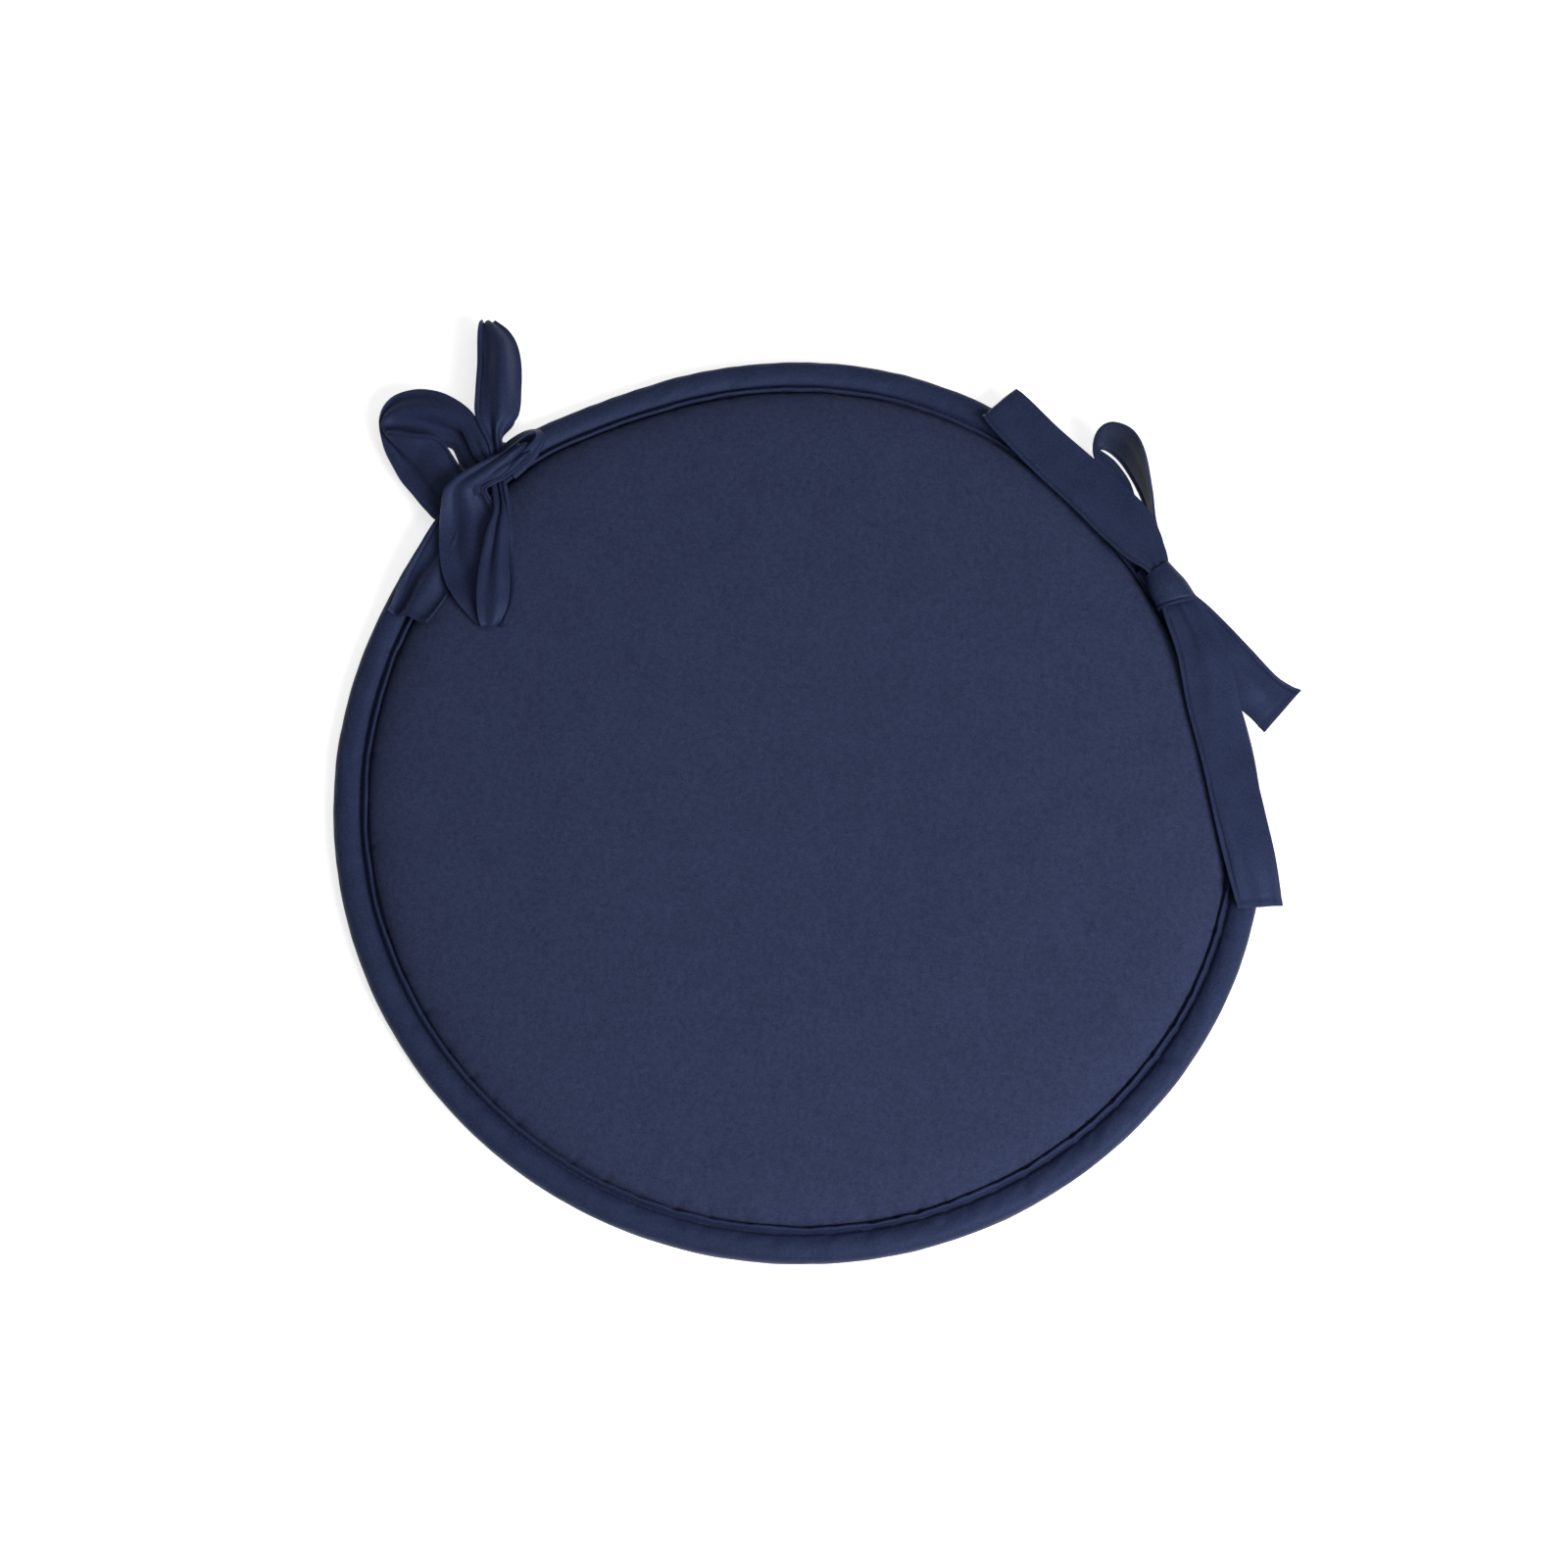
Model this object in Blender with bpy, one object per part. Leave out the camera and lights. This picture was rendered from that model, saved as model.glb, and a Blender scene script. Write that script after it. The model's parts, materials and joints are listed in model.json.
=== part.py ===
"""Round tie-on seat pad: foam disc, two covers, edge binding and two tied pairs of tape ties.

Run with blender --background --python part.py, or from the text editor. Lengths are in metres,
+Z is up, the pad rests on z = 0 and its back, where the ties are sewn, faces +Y.
"""
import math

import bmesh
import bpy
from mathutils import Vector, geometry

MM = 0.001

# ---- driving dimensions -------------------------------------------------------------------
PAD_RADIUS = 0.200
PAD_HEIGHT = 0.020
BAND_WIDTH = 0.012          # puffed binding outside the stitch line
BAND_HEIGHT = 0.0108
SEAM_TOP = 0.0088           # height of the stitched groove, above and below
SEAM_BOTTOM = 0.0019
LIP_WIDTH = 0.003           # the binding's loose folded edge inside the stitch line
LIP_RISE = 0.0018           # how far that edge stands above the groove, and half this underneath
CROWN_RUN = 0.062           # length over which the face falls from its flat top to the lip
UNDER_RUN = 0.013           # the same on the underside
BINDING_THICKNESS = 0.0009
COVER_THICKNESS = 0.0007
SEAM_ALLOWANCE = 0.0035     # cover edge caught inside the binding
COVER_REVEAL = 0.0007       # cover seen between the lip and the start of the face's curve
FOAM_NOSE = 0.004           # foam that reaches past the cover edges into the band
NOSE_HALF_HEIGHT = 0.0018
THREAD_SIZE = 0.0003
LAYER_GAP = 0.0003          # clearance between neighbouring layers
STEPS_ROUND = 60

TAPE_THICKNESS = 0.0014
TIE_ANGLE = 50.0            # degrees each side of the back, seen from above
ROOT_WIDTH = 0.018
ROOT_TAIL = 0.008           # how far the sewn end runs in over the band
TACK_SIZE = (0.012, 0.0006, 0.0012)
TACK_HEIGHT = 0.0055
STEPS_BETWEEN = 5           # tape cross sections between two route points

# The tape routes below were laid out on a pad of these sizes. On another pad each point keeps
# its distance along the rim, its distance from the rim and its height above the pad.
ROUTE_RADIUS = 0.200
ROUTE_PAD_HEIGHT = 0.020
ROUTE_BAND_HEIGHT = 0.0108

# How far each pair of ties pulls the rim out (+) or in (-), and over what angle.
RIM_PULL = {
    "left": (180.0 - (90.0 - TIE_ANGLE), 0.006, 13.0),
    "right": (90.0 - TIE_ANGLE, -0.010, 30.0),
}
PULL_FROM = 0.120           # radius at which the pull starts to be felt
SEAM_RADIUS = PAD_RADIUS - BAND_WIDTH

NAVY = (0.031, 0.038, 0.086)
NAVY_BINDING = (0.028, 0.038, 0.086)
FOAM_GREY = (0.55, 0.55, 0.52)
THREAD_NAVY = (0.020, 0.026, 0.060)


def clear_scene():
    """Remove everything that the file opened with."""
    for item in list(bpy.data.objects):
        bpy.data.objects.remove(item)


def make_material(name, colour, roughness):
    """Return a Principled material of one colour."""
    material = bpy.data.materials.new(name)
    material.use_nodes = True
    shader = material.node_tree.nodes["Principled BSDF"]
    shader.inputs["Base Color"].default_value = (*colour, 1.0)
    shader.inputs["Roughness"].default_value = roughness
    shader.inputs["Metallic"].default_value = 0.0
    return material


def finish_node(name, bm, material, smooth=True):
    """Turn a bmesh into the named object, with its faces pointing outwards."""
    bmesh.ops.recalc_face_normals(bm, faces=bm.faces)
    if bm.calc_volume(signed=True) < 0:
        bmesh.ops.reverse_faces(bm, faces=bm.faces)
    mesh = bpy.data.meshes.new(name)
    bm.to_mesh(mesh)
    bm.free()
    if smooth:
        mesh.shade_smooth()
        mesh.set_sharp_from_angle(angle=math.radians(40))
    mesh.materials.append(material)
    node = bpy.data.objects.new(name, mesh)
    bpy.context.scene.collection.objects.link(node)
    return node


# ---- rim shape ----------------------------------------------------------------------------
def rim_pull(angle):
    """Radial shift of the rim at an angle in degrees."""
    total = 0.0
    for centre, amount, spread in RIM_PULL.values():
        offset = (angle - centre + 180.0) % 360.0 - 180.0
        total += amount * math.exp(-(offset / spread) ** 2)
    return total


def pull_points(bm):
    """Move every vertex in or out with the rim, fading to nothing towards the middle."""
    for vert in bm.verts:
        radius = math.hypot(vert.co.x, vert.co.y)
        if radius < PULL_FROM:
            continue
        share = min(1.0, (radius - PULL_FROM) / (SEAM_RADIUS - LIP_WIDTH - PULL_FROM))
        share = share * share * (3.0 - 2.0 * share)
        angle = math.degrees(math.atan2(vert.co.y, vert.co.x))
        scale = 1.0 + rim_pull(angle) * share / radius
        vert.co.x *= scale
        vert.co.y *= scale


def offset_line(points, distance):
    """Return a line of (r, z) points moved sideways, to its left as it runs."""
    moved = []
    for index, point in enumerate(points):
        before = Vector(points[max(index - 1, 0)])
        after = Vector(points[min(index + 1, len(points) - 1)])
        here = Vector(point)
        first = (here - before).normalized() if index else (after - here).normalized()
        last = (after - here).normalized() if index < len(points) - 1 else first
        along = (first + last).normalized()
        side = Vector((-along.y, along.x))
        stretch = max(0.75, Vector((-first.y, first.x)).dot(side))
        moved.append(tuple(here + side * (distance / stretch)))
    return moved


def turned_node(name, outline, material):
    """Turn a closed (r, z) outline about Z and pull it to the rim's shape."""
    bm = bmesh.new()
    verts = [bm.verts.new((radius, 0.0, height)) for radius, height in outline]
    edges = [bm.edges.new((verts[i], verts[(i + 1) % len(verts)])) for i in range(len(verts))
             if not (outline[i][0] == 0.0 and outline[(i + 1) % len(outline)][0] == 0.0)]
    bmesh.ops.spin(bm, geom=verts + edges, cent=(0, 0, 0), axis=(0, 0, 1),
                   angle=math.tau, steps=STEPS_ROUND, use_merge=True)
    bmesh.ops.remove_doubles(bm, verts=bm.verts, dist=0.00001)
    pull_points(bm)
    return finish_node(name, bm, material)


def band_line():
    """Outside of the binding, from the upper lip round the rim to the lower lip."""
    half = BAND_WIDTH / 2
    middle = BAND_HEIGHT / 2
    centre = SEAM_RADIUS + half
    lip = SEAM_RADIUS - LIP_WIDTH
    under = SEAM_BOTTOM - LIP_RISE * 0.85
    arc = []
    for share in range(-3, 4):
        turn = math.radians(-115 * share / 3)
        reach = abs(math.cos(turn)) ** 0.8 * math.copysign(half, math.cos(turn))
        rise = abs(math.sin(turn)) ** 0.8 * math.copysign(middle, math.sin(turn))
        arc.append((centre + reach, middle + rise))
    upper = [(lip, SEAM_TOP + LIP_RISE * 0.8), (lip + LIP_WIDTH * 0.4, SEAM_TOP + LIP_RISE),
             (SEAM_RADIUS - LIP_WIDTH * 0.25, SEAM_TOP + LIP_RISE * 0.6), (SEAM_RADIUS, SEAM_TOP),
             (SEAM_RADIUS + LIP_WIDTH * 0.35, SEAM_TOP + LIP_RISE * 0.5)]
    lower = [(SEAM_RADIUS + LIP_WIDTH * 0.35, SEAM_BOTTOM - LIP_RISE * 0.5),
             (SEAM_RADIUS, SEAM_BOTTOM), (SEAM_RADIUS - LIP_WIDTH * 0.25, SEAM_BOTTOM - LIP_RISE * 0.6),
             (lip + LIP_WIDTH * 0.4, under), (lip, SEAM_BOTTOM - LIP_RISE * 0.6)]
    return upper + arc + lower


def face_share(step):
    """How much of its full height the face keeps, part of the way (0 to 1) down its curve."""
    return math.sqrt(1.0 - min(max(step, 0.0), 1.0) ** 2.6)


def face_line(flat_height, run, seam_height, bow):
    """Outside of one cover, from the middle out to its edge inside the binding."""
    start = SEAM_RADIUS - LIP_WIDTH - COVER_REVEAL - run
    lip_height = seam_height + bow * LIP_RISE / 2
    line = [(0.0, flat_height), (start * 0.5, flat_height), (start, flat_height)]
    for step in (0.35, 0.65, 0.85, 0.95, 1.0):
        line.append((start + run * step, lip_height + (flat_height - lip_height) * face_share(step)))
    line.append((SEAM_RADIUS - LIP_WIDTH * 0.4, seam_height + bow * LAYER_GAP / 3))
    line.append((SEAM_RADIUS, seam_height - bow * LAYER_GAP * 2 / 3))
    line.append((SEAM_RADIUS + SEAM_ALLOWANCE, seam_height + bow * LAYER_GAP))
    return line


def build_pad(navy, binding, foam, thread):
    """Foam, covers, binding and the two lines of stitching."""
    cover_inset = BINDING_THICKNESS + LAYER_GAP * 1.5
    top = face_line(PAD_HEIGHT, CROWN_RUN, SEAM_TOP - cover_inset, 1.0)
    under = face_line(0.0, UNDER_RUN, SEAM_BOTTOM + cover_inset, -1.0)

    band = band_line()
    turned_node("edge_binding", band + offset_line(band, -BINDING_THICKNESS)[::-1], binding)
    turned_node("top_cover", top + offset_line(top, -COVER_THICKNESS)[::-1], navy)
    turned_node("bottom_cover", under + offset_line(under, COVER_THICKNESS)[::-1], navy)

    inset = COVER_THICKNESS + LAYER_GAP
    foam_top = offset_line(top, -inset)
    foam_under = offset_line(under, inset)
    foam_edge = SEAM_RADIUS + SEAM_ALLOWANCE + FOAM_NOSE
    shoulder = foam_edge - FOAM_NOSE * 0.4
    nose = [(shoulder, BAND_HEIGHT / 2 + NOSE_HALF_HEIGHT), (foam_edge, BAND_HEIGHT / 2),
            (shoulder, BAND_HEIGHT / 2 - NOSE_HALF_HEIGHT)]
    foam_top[0] = (0.0, foam_top[0][1])
    foam_under[0] = (0.0, foam_under[0][1])
    turned_node("foam_pad", foam_top + nose + foam_under[::-1], foam)

    for name, height, side in (("binding_top_stitching", SEAM_TOP, 1.0),
                               ("binding_bottom_stitching", SEAM_BOTTOM, -1.0)):
        low = height + side * LAYER_GAP * 2
        high = low + side * THREAD_SIZE
        half = THREAD_SIZE / 2
        turned_node(name, [(SEAM_RADIUS - half, low), (SEAM_RADIUS + half, low),
                           (SEAM_RADIUS + half, high), (SEAM_RADIUS - half, high)], thread)


# ---- ties ---------------------------------------------------------------------------------
class TieFrame:
    """Place points from a tie's own axes: along the rim to the back, outwards, and up."""

    def __init__(self, side):
        angle = math.radians(RIM_PULL[side][0])
        self.outward = Vector((math.cos(angle), math.sin(angle), 0.0))
        self.along = Vector((-self.outward.y, self.outward.x, 0.0))
        if side == "left":
            self.along.negate()

    def rise(self, along, outward):
        """How much higher the surface below a point is than on a pad of the route's sizes."""
        from_rim = math.hypot(ROUTE_RADIUS + outward, along) - ROUTE_RADIUS
        face_start = PAD_RADIUS - BAND_WIDTH - LIP_WIDTH - COVER_REVEAL - CROWN_RUN
        share = face_share((PAD_RADIUS + from_rim - face_start) / CROWN_RUN)
        return (share * (PAD_HEIGHT - ROUTE_PAD_HEIGHT)
                + (1.0 - share) * (BAND_HEIGHT - ROUTE_BAND_HEIGHT))

    def place(self, along, outward, height):
        """World position of a point in the tie's axes, in metres, turned with a changed rim."""
        from_rim = math.hypot(ROUTE_RADIUS + outward, along) - ROUTE_RADIUS
        turn = math.atan2(along, ROUTE_RADIUS + outward) * ROUTE_RADIUS / PAD_RADIUS
        spot = self.outward * math.cos(turn) + self.along * math.sin(turn)
        return spot * (PAD_RADIUS + from_rim) + Vector((0.0, 0.0, height))

    def lay(self, along, outward, height):
        """The same, lifted or lowered with the surface below it."""
        return self.place(along, outward, height + self.rise(along, outward))


# Each route is a list of cross sections: one edge of the tape and the other, in millimetres,
# as (along, outward, up). The tape runs from its knot outwards and, in a loop, back again.
ROUTES = {
    "right_tie_long_loop": ("right", [
        ((7, -21.5, 18.5), (7, -10.5, 17.5)), ((16, -26, 18.3), (18, -6.5, 17)),
        ((30, -29.5, 18), (32, -6, 16.5)), ((52, -34, 17.8), (56, -11, 15.5)),
        ((76, -39.5, 17.4), (80, -17, 15.2)), ((97, -43, 17.2), (101.5, -21.5, 14.8)),
        ((103.5, -43, 16.6), (107.5, -23.5, 14)), ((102.5, -42.5, 14.6), (106.5, -23, 12.6)),
        ((90, -40, 14.8), (94, -20.5, 12.4)), ((60, -34.5, 15.4), (64, -13.5, 12.6)),
        ((36, -30, 15.8), (38, -10, 13.2)), ((20, -25, 16), (20, -11, 14.4)),
        ((7, -20, 16.2), (7, -11.5, 15))]),
    "right_tie_small_loop": ("right", [
        ((10.5, -8.2, 8.5), (10.5, -7.6, 13.6)), ((23, -6.5, 6), (23, -5, 14)),
        ((35, -2, 4.4), (36, 1, 18)), ((48, 0.5, 3), (50, 5, 26)),
        ((60, 0.5, 3), (62, 5.5, 26)), ((66.5, -3, 5), (69.5, 0, 25)),
        ((66, -6.8, 11), (68, -5.5, 21))]),
    "right_tie_upper_tail": ("right", [
        ((-17, -24.5, 17.6), (-17, -8.5, 18.4)), ((-27, -26, 18.2), (-28, -5.5, 17)),
        ((-42, -25.5, 18.2), (-43, -2.5, 15.6)), ((-60, -21.5, 16.6), (-60, 1.5, 12.8)),
        ((-80, -17, 12.8), (-72, 8, 9.6))]),
    "right_tie_lower_tail": ("right", [
        ((-17, -26.5, 15.2), (-17, -12, 14.2)), ((-30, -29, 15.6), (-35, -9.5, 12.8)),
        ((-52, -38.5, 17), (-59, -17.5, 12.6)), ((-75, -47.2, 18), (-83, -26, 12.6)),
        ((-100, -56.5, 17.6), (-107, -35, 12.2)), ((-121, -63.5, 16), (-127, -42, 10.6)),
        ((-139, -69.5, 14), (-147, -50.5, 6))]),
    "left_tie_top_loop": ("left", [
        ((2, 8.6, 18.2), (10, 8.6, 18)), ((7, 20, 20.5), (18.5, 9.5, 20)),
        ((14.5, 30, 22), (28, 18, 21.5)), ((23, 39, 21.5), (36, 27.5, 20.5)),
        ((30, 48, 19.5), (41, 37, 18)), ((35.5, 54, 16.4), (42, 43.5, 15)),
        ((36.5, 55, 13.8), (42.5, 44.5, 12.6)), ((34, 53, 12), (41, 42, 11.2)),
        ((21.5, 39.5, 13.5), (34.5, 27.5, 13)), ((12, 28.5, 14), (26, 17.5, 13.5)),
        ((5, 18.5, 14.4), (17, 9.5, 14)), ((1.5, 8.6, 14.8), (9, 8.6, 14.6))]),
    "left_tie_side_loop": ("left", [
        ((-11, 8.6, 10), (-1, 8.6, 20.5)), ((-10.5, 18, 9), (2.5, 19, 20.5)),
        ((-11.5, 27, 9.5), (3, 30, 19.5)), ((-15.5, 36, 12), (0, 41, 18)),
        ((-19.5, 41.5, 15), (-8.5, 50, 15)), ((-23, 43.5, 16.5), (-18, 53, 12.5)),
        ((-24, 40, 17), (-26.5, 47.5, 11.5)), ((-20.5, 33.5, 17), (-30.5, 38, 11)),
        ((-17, 24, 16), (-32.5, 29, 10.4)), ((-15, 14.5, 15.4), (-35, 17, 10)),
        ((-16, 8.6, 15), (-36, 8.6, 10.6))]),
    "left_tie_lower_loop": ("left", [
        ((-16.5, -19.5, 20.6), (-8.5, -19, 20.8)), ((-26, -24.5, 23), (-14, -27, 22.6)),
        ((-37.5, -35, 24), (-23.5, -39.5, 23.5)), ((-46.5, -45, 24), (-31.5, -50, 23.4)),
        ((-53, -54, 23.6), (-40, -59, 23)), ((-56, -56.5, 22.4), (-44, -61, 22)),
        ((-57.5, -52, 21), (-43, -57, 21)), ((-55, -41, 20.6), (-38, -48, 21)),
        ((-49, -27.5, 19.6), (-32, -38, 20.8)), ((-40, -15.5, 18.8), (-24, -28, 20)),
        ((-30, -11, 18.2), (-17, -22.5, 18.8)), ((-25, -9.5, 17.8), (-14.5, -20, 18.2))]),
    "left_tie_tail": ("left", [
        ((-27, -2, 13.8), (-17.5, -15.5, 15.6)), ((-38, -3.5, 12.8), (-28, -20, 15.6)),
        ((-50, -7.5, 12.6), (-42, -27, 16.2)), ((-64, -13.2, 12.6), (-56.5, -32.5, 17)),
        ((-79.5, -20.5, 12.6), (-71.5, -37.5, 18.6))]),
    "left_tie_small_loop": ("left", [
        ((9, -0.5, 20), (9, -1.5, 14.5)), ((14.5, 4.5, 21.5), (14.5, 3, 15)),
        ((19.5, 1, 22), (19, 0, 15)), ((21, -5, 22), (20, -5, 15)),
        ((17.5, -10.5, 21), (16, -9.5, 15)), ((10, -10.5, 20), (9.5, -9.5, 14.5))]),
}

# Knot lumps: side, centre (along, outward) in mm, turn in degrees, size (long, wide, high) and
# how far the underside stands above the band.
KNOTS = {
    "right_tie_knot": ("right", (-5.2, -17.0), 0.0, (0.0195, 0.0150, 0.0078), 0.0026),
    "left_tie_knot": ("left", (-5.5, -4.5), -38.0, (0.0230, 0.0150, 0.0080), 0.0046),
}


def smooth_line(points, steps):
    """Read a smooth curve through the points, with Blender's Bezier interpolation."""
    line = []
    last = len(points) - 1
    for index in range(last):
        start, end = points[index], points[index + 1]
        before = points[max(index - 1, 0)]
        after = points[min(index + 2, last)]
        handle_out = start + (end - before) / 6
        handle_in = end - (after - start) / 6
        stretch = geometry.interpolate_bezier(start, handle_out, handle_in, end, steps + 1)
        line.extend(stretch[:-1])
    line.append(points[-1].copy())
    return line


def build_tape(name, material):
    """Sweep a flat tape through its route's cross sections by extruding its end face."""
    side, route = ROUTES[name]
    frame = TieFrame(side)
    edges = [smooth_line([frame.lay(*(value * MM for value in section[which]))
                          for section in route], STEPS_BETWEEN) for which in (0, 1)]
    middles = [(a + b) / 2 for a, b in zip(*edges)]
    rings = []
    for index, (one, other) in enumerate(zip(*edges)):
        ahead = middles[min(index + 1, len(middles) - 1)]
        behind = middles[max(index - 1, 0)]
        normal = (ahead - behind).cross(other - one).normalized() * (TAPE_THICKNESS / 2)
        rings.append((one + normal, other + normal, other - normal, one - normal))
    bm = bmesh.new()
    end = bm.faces.new([bm.verts.new(point) for point in rings[0]])
    for here, ring in zip(rings, rings[1:]):
        made = bmesh.ops.extrude_face_region(bm, geom=[end], use_keep_orig=True)
        if here is not rings[0]:
            bmesh.ops.delete(bm, geom=[end], context='FACES_ONLY')
        moved = [item for item in made["geom"] if isinstance(item, bmesh.types.BMVert)]
        for corner, point in zip(here, ring):
            nearest = min(moved, key=lambda vert: (vert.co - corner).length)
            moved.remove(nearest)
            nearest.co = point
        end = next(item for item in made["geom"] if isinstance(item, bmesh.types.BMFace))
    bmesh.ops.triangulate(bm, faces=bm.faces)
    return finish_node(name, bm, material)


def build_knot(name, material):
    """A rounded lump with flat ends, the size of the drawn-up knot."""
    side, centre, turn, (long_size, wide_size, height), lift = KNOTS[name]
    frame = TieFrame(side)
    bm = bmesh.new()
    bmesh.ops.create_cube(bm, size=1.0)
    bmesh.ops.scale(bm, vec=(long_size, wide_size, height), verts=bm.verts)
    long_edges = [edge for edge in bm.edges
                  if abs(edge.verts[0].co.x - edge.verts[1].co.x) > long_size / 2]
    bmesh.ops.bevel(bm, geom=long_edges, offset=height * 0.3, segments=3, profile=0.5,
                    affect='EDGES', material=-1)
    middle = ROUTE_BAND_HEIGHT + lift + height / 2
    angle = math.radians(turn)
    spots = [(centre[0] * MM + vert.co.x * math.cos(angle) - vert.co.y * math.sin(angle),
              centre[1] * MM + vert.co.x * math.sin(angle) + vert.co.y * math.cos(angle))
             for vert in bm.verts]
    middle += max(frame.rise(*spot) for spot in spots)
    for vert, spot in zip(bm.verts, spots):
        vert.co = frame.place(*spot, middle + vert.co.z)
    return finish_node(name, bm, material)


def build_root(side, material, thread):
    """The sewn end of a pair of ties, round the rim and in under the knot, and its bar tack."""
    frame = TieFrame(side)
    pull = rim_pull(RIM_PULL[side][0])
    clearance = LAYER_GAP * 2
    band = [point for point in band_line() if point[0] > SEAM_RADIUS + BAND_WIDTH * 0.3]
    upper = [point for point in band if point[1] > BAND_HEIGHT * 0.2]
    inner = offset_line(upper, clearance)
    outer = offset_line(upper, clearance + TAPE_THICKNESS)
    tail = PAD_RADIUS - BAND_WIDTH * 0.5 - ROOT_TAIL
    inner.insert(0, (tail, BAND_HEIGHT + clearance))
    outer.insert(0, (tail, BAND_HEIGHT + clearance + TAPE_THICKNESS))
    outline = inner + outer[::-1]
    bm = bmesh.new()
    start = frame.along * (-ROOT_WIDTH / 2)
    verts = [bm.verts.new(start + frame.outward * (radius + pull) + Vector((0.0, 0.0, height)))
             for radius, height in outline]
    face = bm.faces.new(verts)
    made = bmesh.ops.extrude_face_region(bm, geom=[face], use_keep_orig=True)
    moved = [item for item in made["geom"] if isinstance(item, bmesh.types.BMVert)]
    bmesh.ops.translate(bm, vec=frame.along * ROOT_WIDTH, verts=moved)
    bmesh.ops.triangulate(bm, faces=bm.faces)
    finish_node(f"{side}_tie_root", bm, material, smooth=False)

    outside = PAD_RADIUS + pull + clearance + TAPE_THICKNESS + LAYER_GAP + TACK_SIZE[1] / 2
    bm = bmesh.new()
    bmesh.ops.create_cube(bm, size=1.0)
    bmesh.ops.scale(bm, vec=TACK_SIZE, verts=bm.verts)
    for vert in bm.verts:
        vert.co = (frame.along * vert.co.x + frame.outward * (outside + vert.co.y)
                   + Vector((0.0, 0.0, TACK_HEIGHT + vert.co.z)))
    finish_node(f"{side}_tie_bar_tack", bm, thread, smooth=False)


def main():
    """Build every node."""
    clear_scene()
    navy = make_material("cover_fabric", NAVY, 0.9)
    binding = make_material("binding_fabric", NAVY_BINDING, 0.8)
    foam = make_material("foam", FOAM_GREY, 0.95)
    thread = make_material("thread", THREAD_NAVY, 0.6)
    build_pad(navy, binding, foam, thread)
    for side in RIM_PULL:
        build_root(side, binding, thread)
    for name in KNOTS:
        build_knot(name, binding)
    for name in ROUTES:
        build_tape(name, binding)


main()
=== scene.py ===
"""Looks of a round, thin seat pad: crowned cloth face, bound edge, and two pairs of tape ties in bows.

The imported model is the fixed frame. Every piece is made in its place, in metres, with the pad's
underside on z = 0 and the edge that carries the ties towards +Y.
"""
import json
import logging
import math
import random
from dataclasses import dataclass, field
from enum import Enum
from typing import Callable, Sequence

import bmesh
import bpy
import numpy as np
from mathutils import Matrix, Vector, kdtree, noise


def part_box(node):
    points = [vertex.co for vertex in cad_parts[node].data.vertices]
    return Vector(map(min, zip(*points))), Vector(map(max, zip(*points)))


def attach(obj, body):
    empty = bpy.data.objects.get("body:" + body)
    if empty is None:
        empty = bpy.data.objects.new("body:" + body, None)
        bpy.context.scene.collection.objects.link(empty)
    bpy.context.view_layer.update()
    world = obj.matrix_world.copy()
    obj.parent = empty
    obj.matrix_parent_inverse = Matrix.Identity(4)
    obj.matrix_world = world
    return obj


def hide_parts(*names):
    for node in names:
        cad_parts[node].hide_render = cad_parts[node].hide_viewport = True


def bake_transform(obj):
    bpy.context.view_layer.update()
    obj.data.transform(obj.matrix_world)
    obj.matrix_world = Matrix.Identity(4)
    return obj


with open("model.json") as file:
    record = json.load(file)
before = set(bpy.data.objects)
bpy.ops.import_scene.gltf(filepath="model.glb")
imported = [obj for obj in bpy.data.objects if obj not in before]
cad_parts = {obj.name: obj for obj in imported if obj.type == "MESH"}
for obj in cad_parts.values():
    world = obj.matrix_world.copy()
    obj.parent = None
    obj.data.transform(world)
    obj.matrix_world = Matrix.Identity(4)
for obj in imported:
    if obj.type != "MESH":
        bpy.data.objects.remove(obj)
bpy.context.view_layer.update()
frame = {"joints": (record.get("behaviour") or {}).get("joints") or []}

log = logging.getLogger("seat_pad")
MM = 0.001
Colour = tuple[float, float, float]
Point = tuple[float, float, float]
Section = tuple[Point, Point, float]
RiseField = Callable[[float, float, bool], float]


# ---- shader graph -------------------------------------------------------------------------
class Value:
    """A shader socket that carries a number, which Python's operators can work on."""

    def __init__(self, graph: "Graph", socket: bpy.types.NodeSocket) -> None:
        """Keep the graph and the socket."""
        self.graph = graph
        self.socket = socket

    def maths(self, operation: str, other: "Value | float", swap: bool = False) -> "Value":
        """Add a Math node.

        Args:
            operation: the node's operation.
            other: the second operand.
            swap: put the second operand first.

        Returns:
            The node's result.
        """
        pair = [other, self] if swap else [self, other]
        return self.graph.node("ShaderNodeMath", {"operation": operation}, {0: pair[0], 1: pair[1]})

    def __add__(self, other: "Value | float") -> "Value":
        """Sum."""
        return self.maths("ADD", other)

    __radd__ = __add__

    def __sub__(self, other: "Value | float") -> "Value":
        """Difference."""
        return self.maths("SUBTRACT", other)

    def __rsub__(self, other: float) -> "Value":
        """Difference, reflected."""
        return self.maths("SUBTRACT", other, swap=True)

    def __mul__(self, other: "Value | float") -> "Value":
        """Product."""
        return self.maths("MULTIPLY", other)

    __rmul__ = __mul__

    def wave(self) -> "Value":
        """Sine of the number."""
        return self.graph.node("ShaderNodeMath", {"operation": "SINE"}, {0: self})


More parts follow.
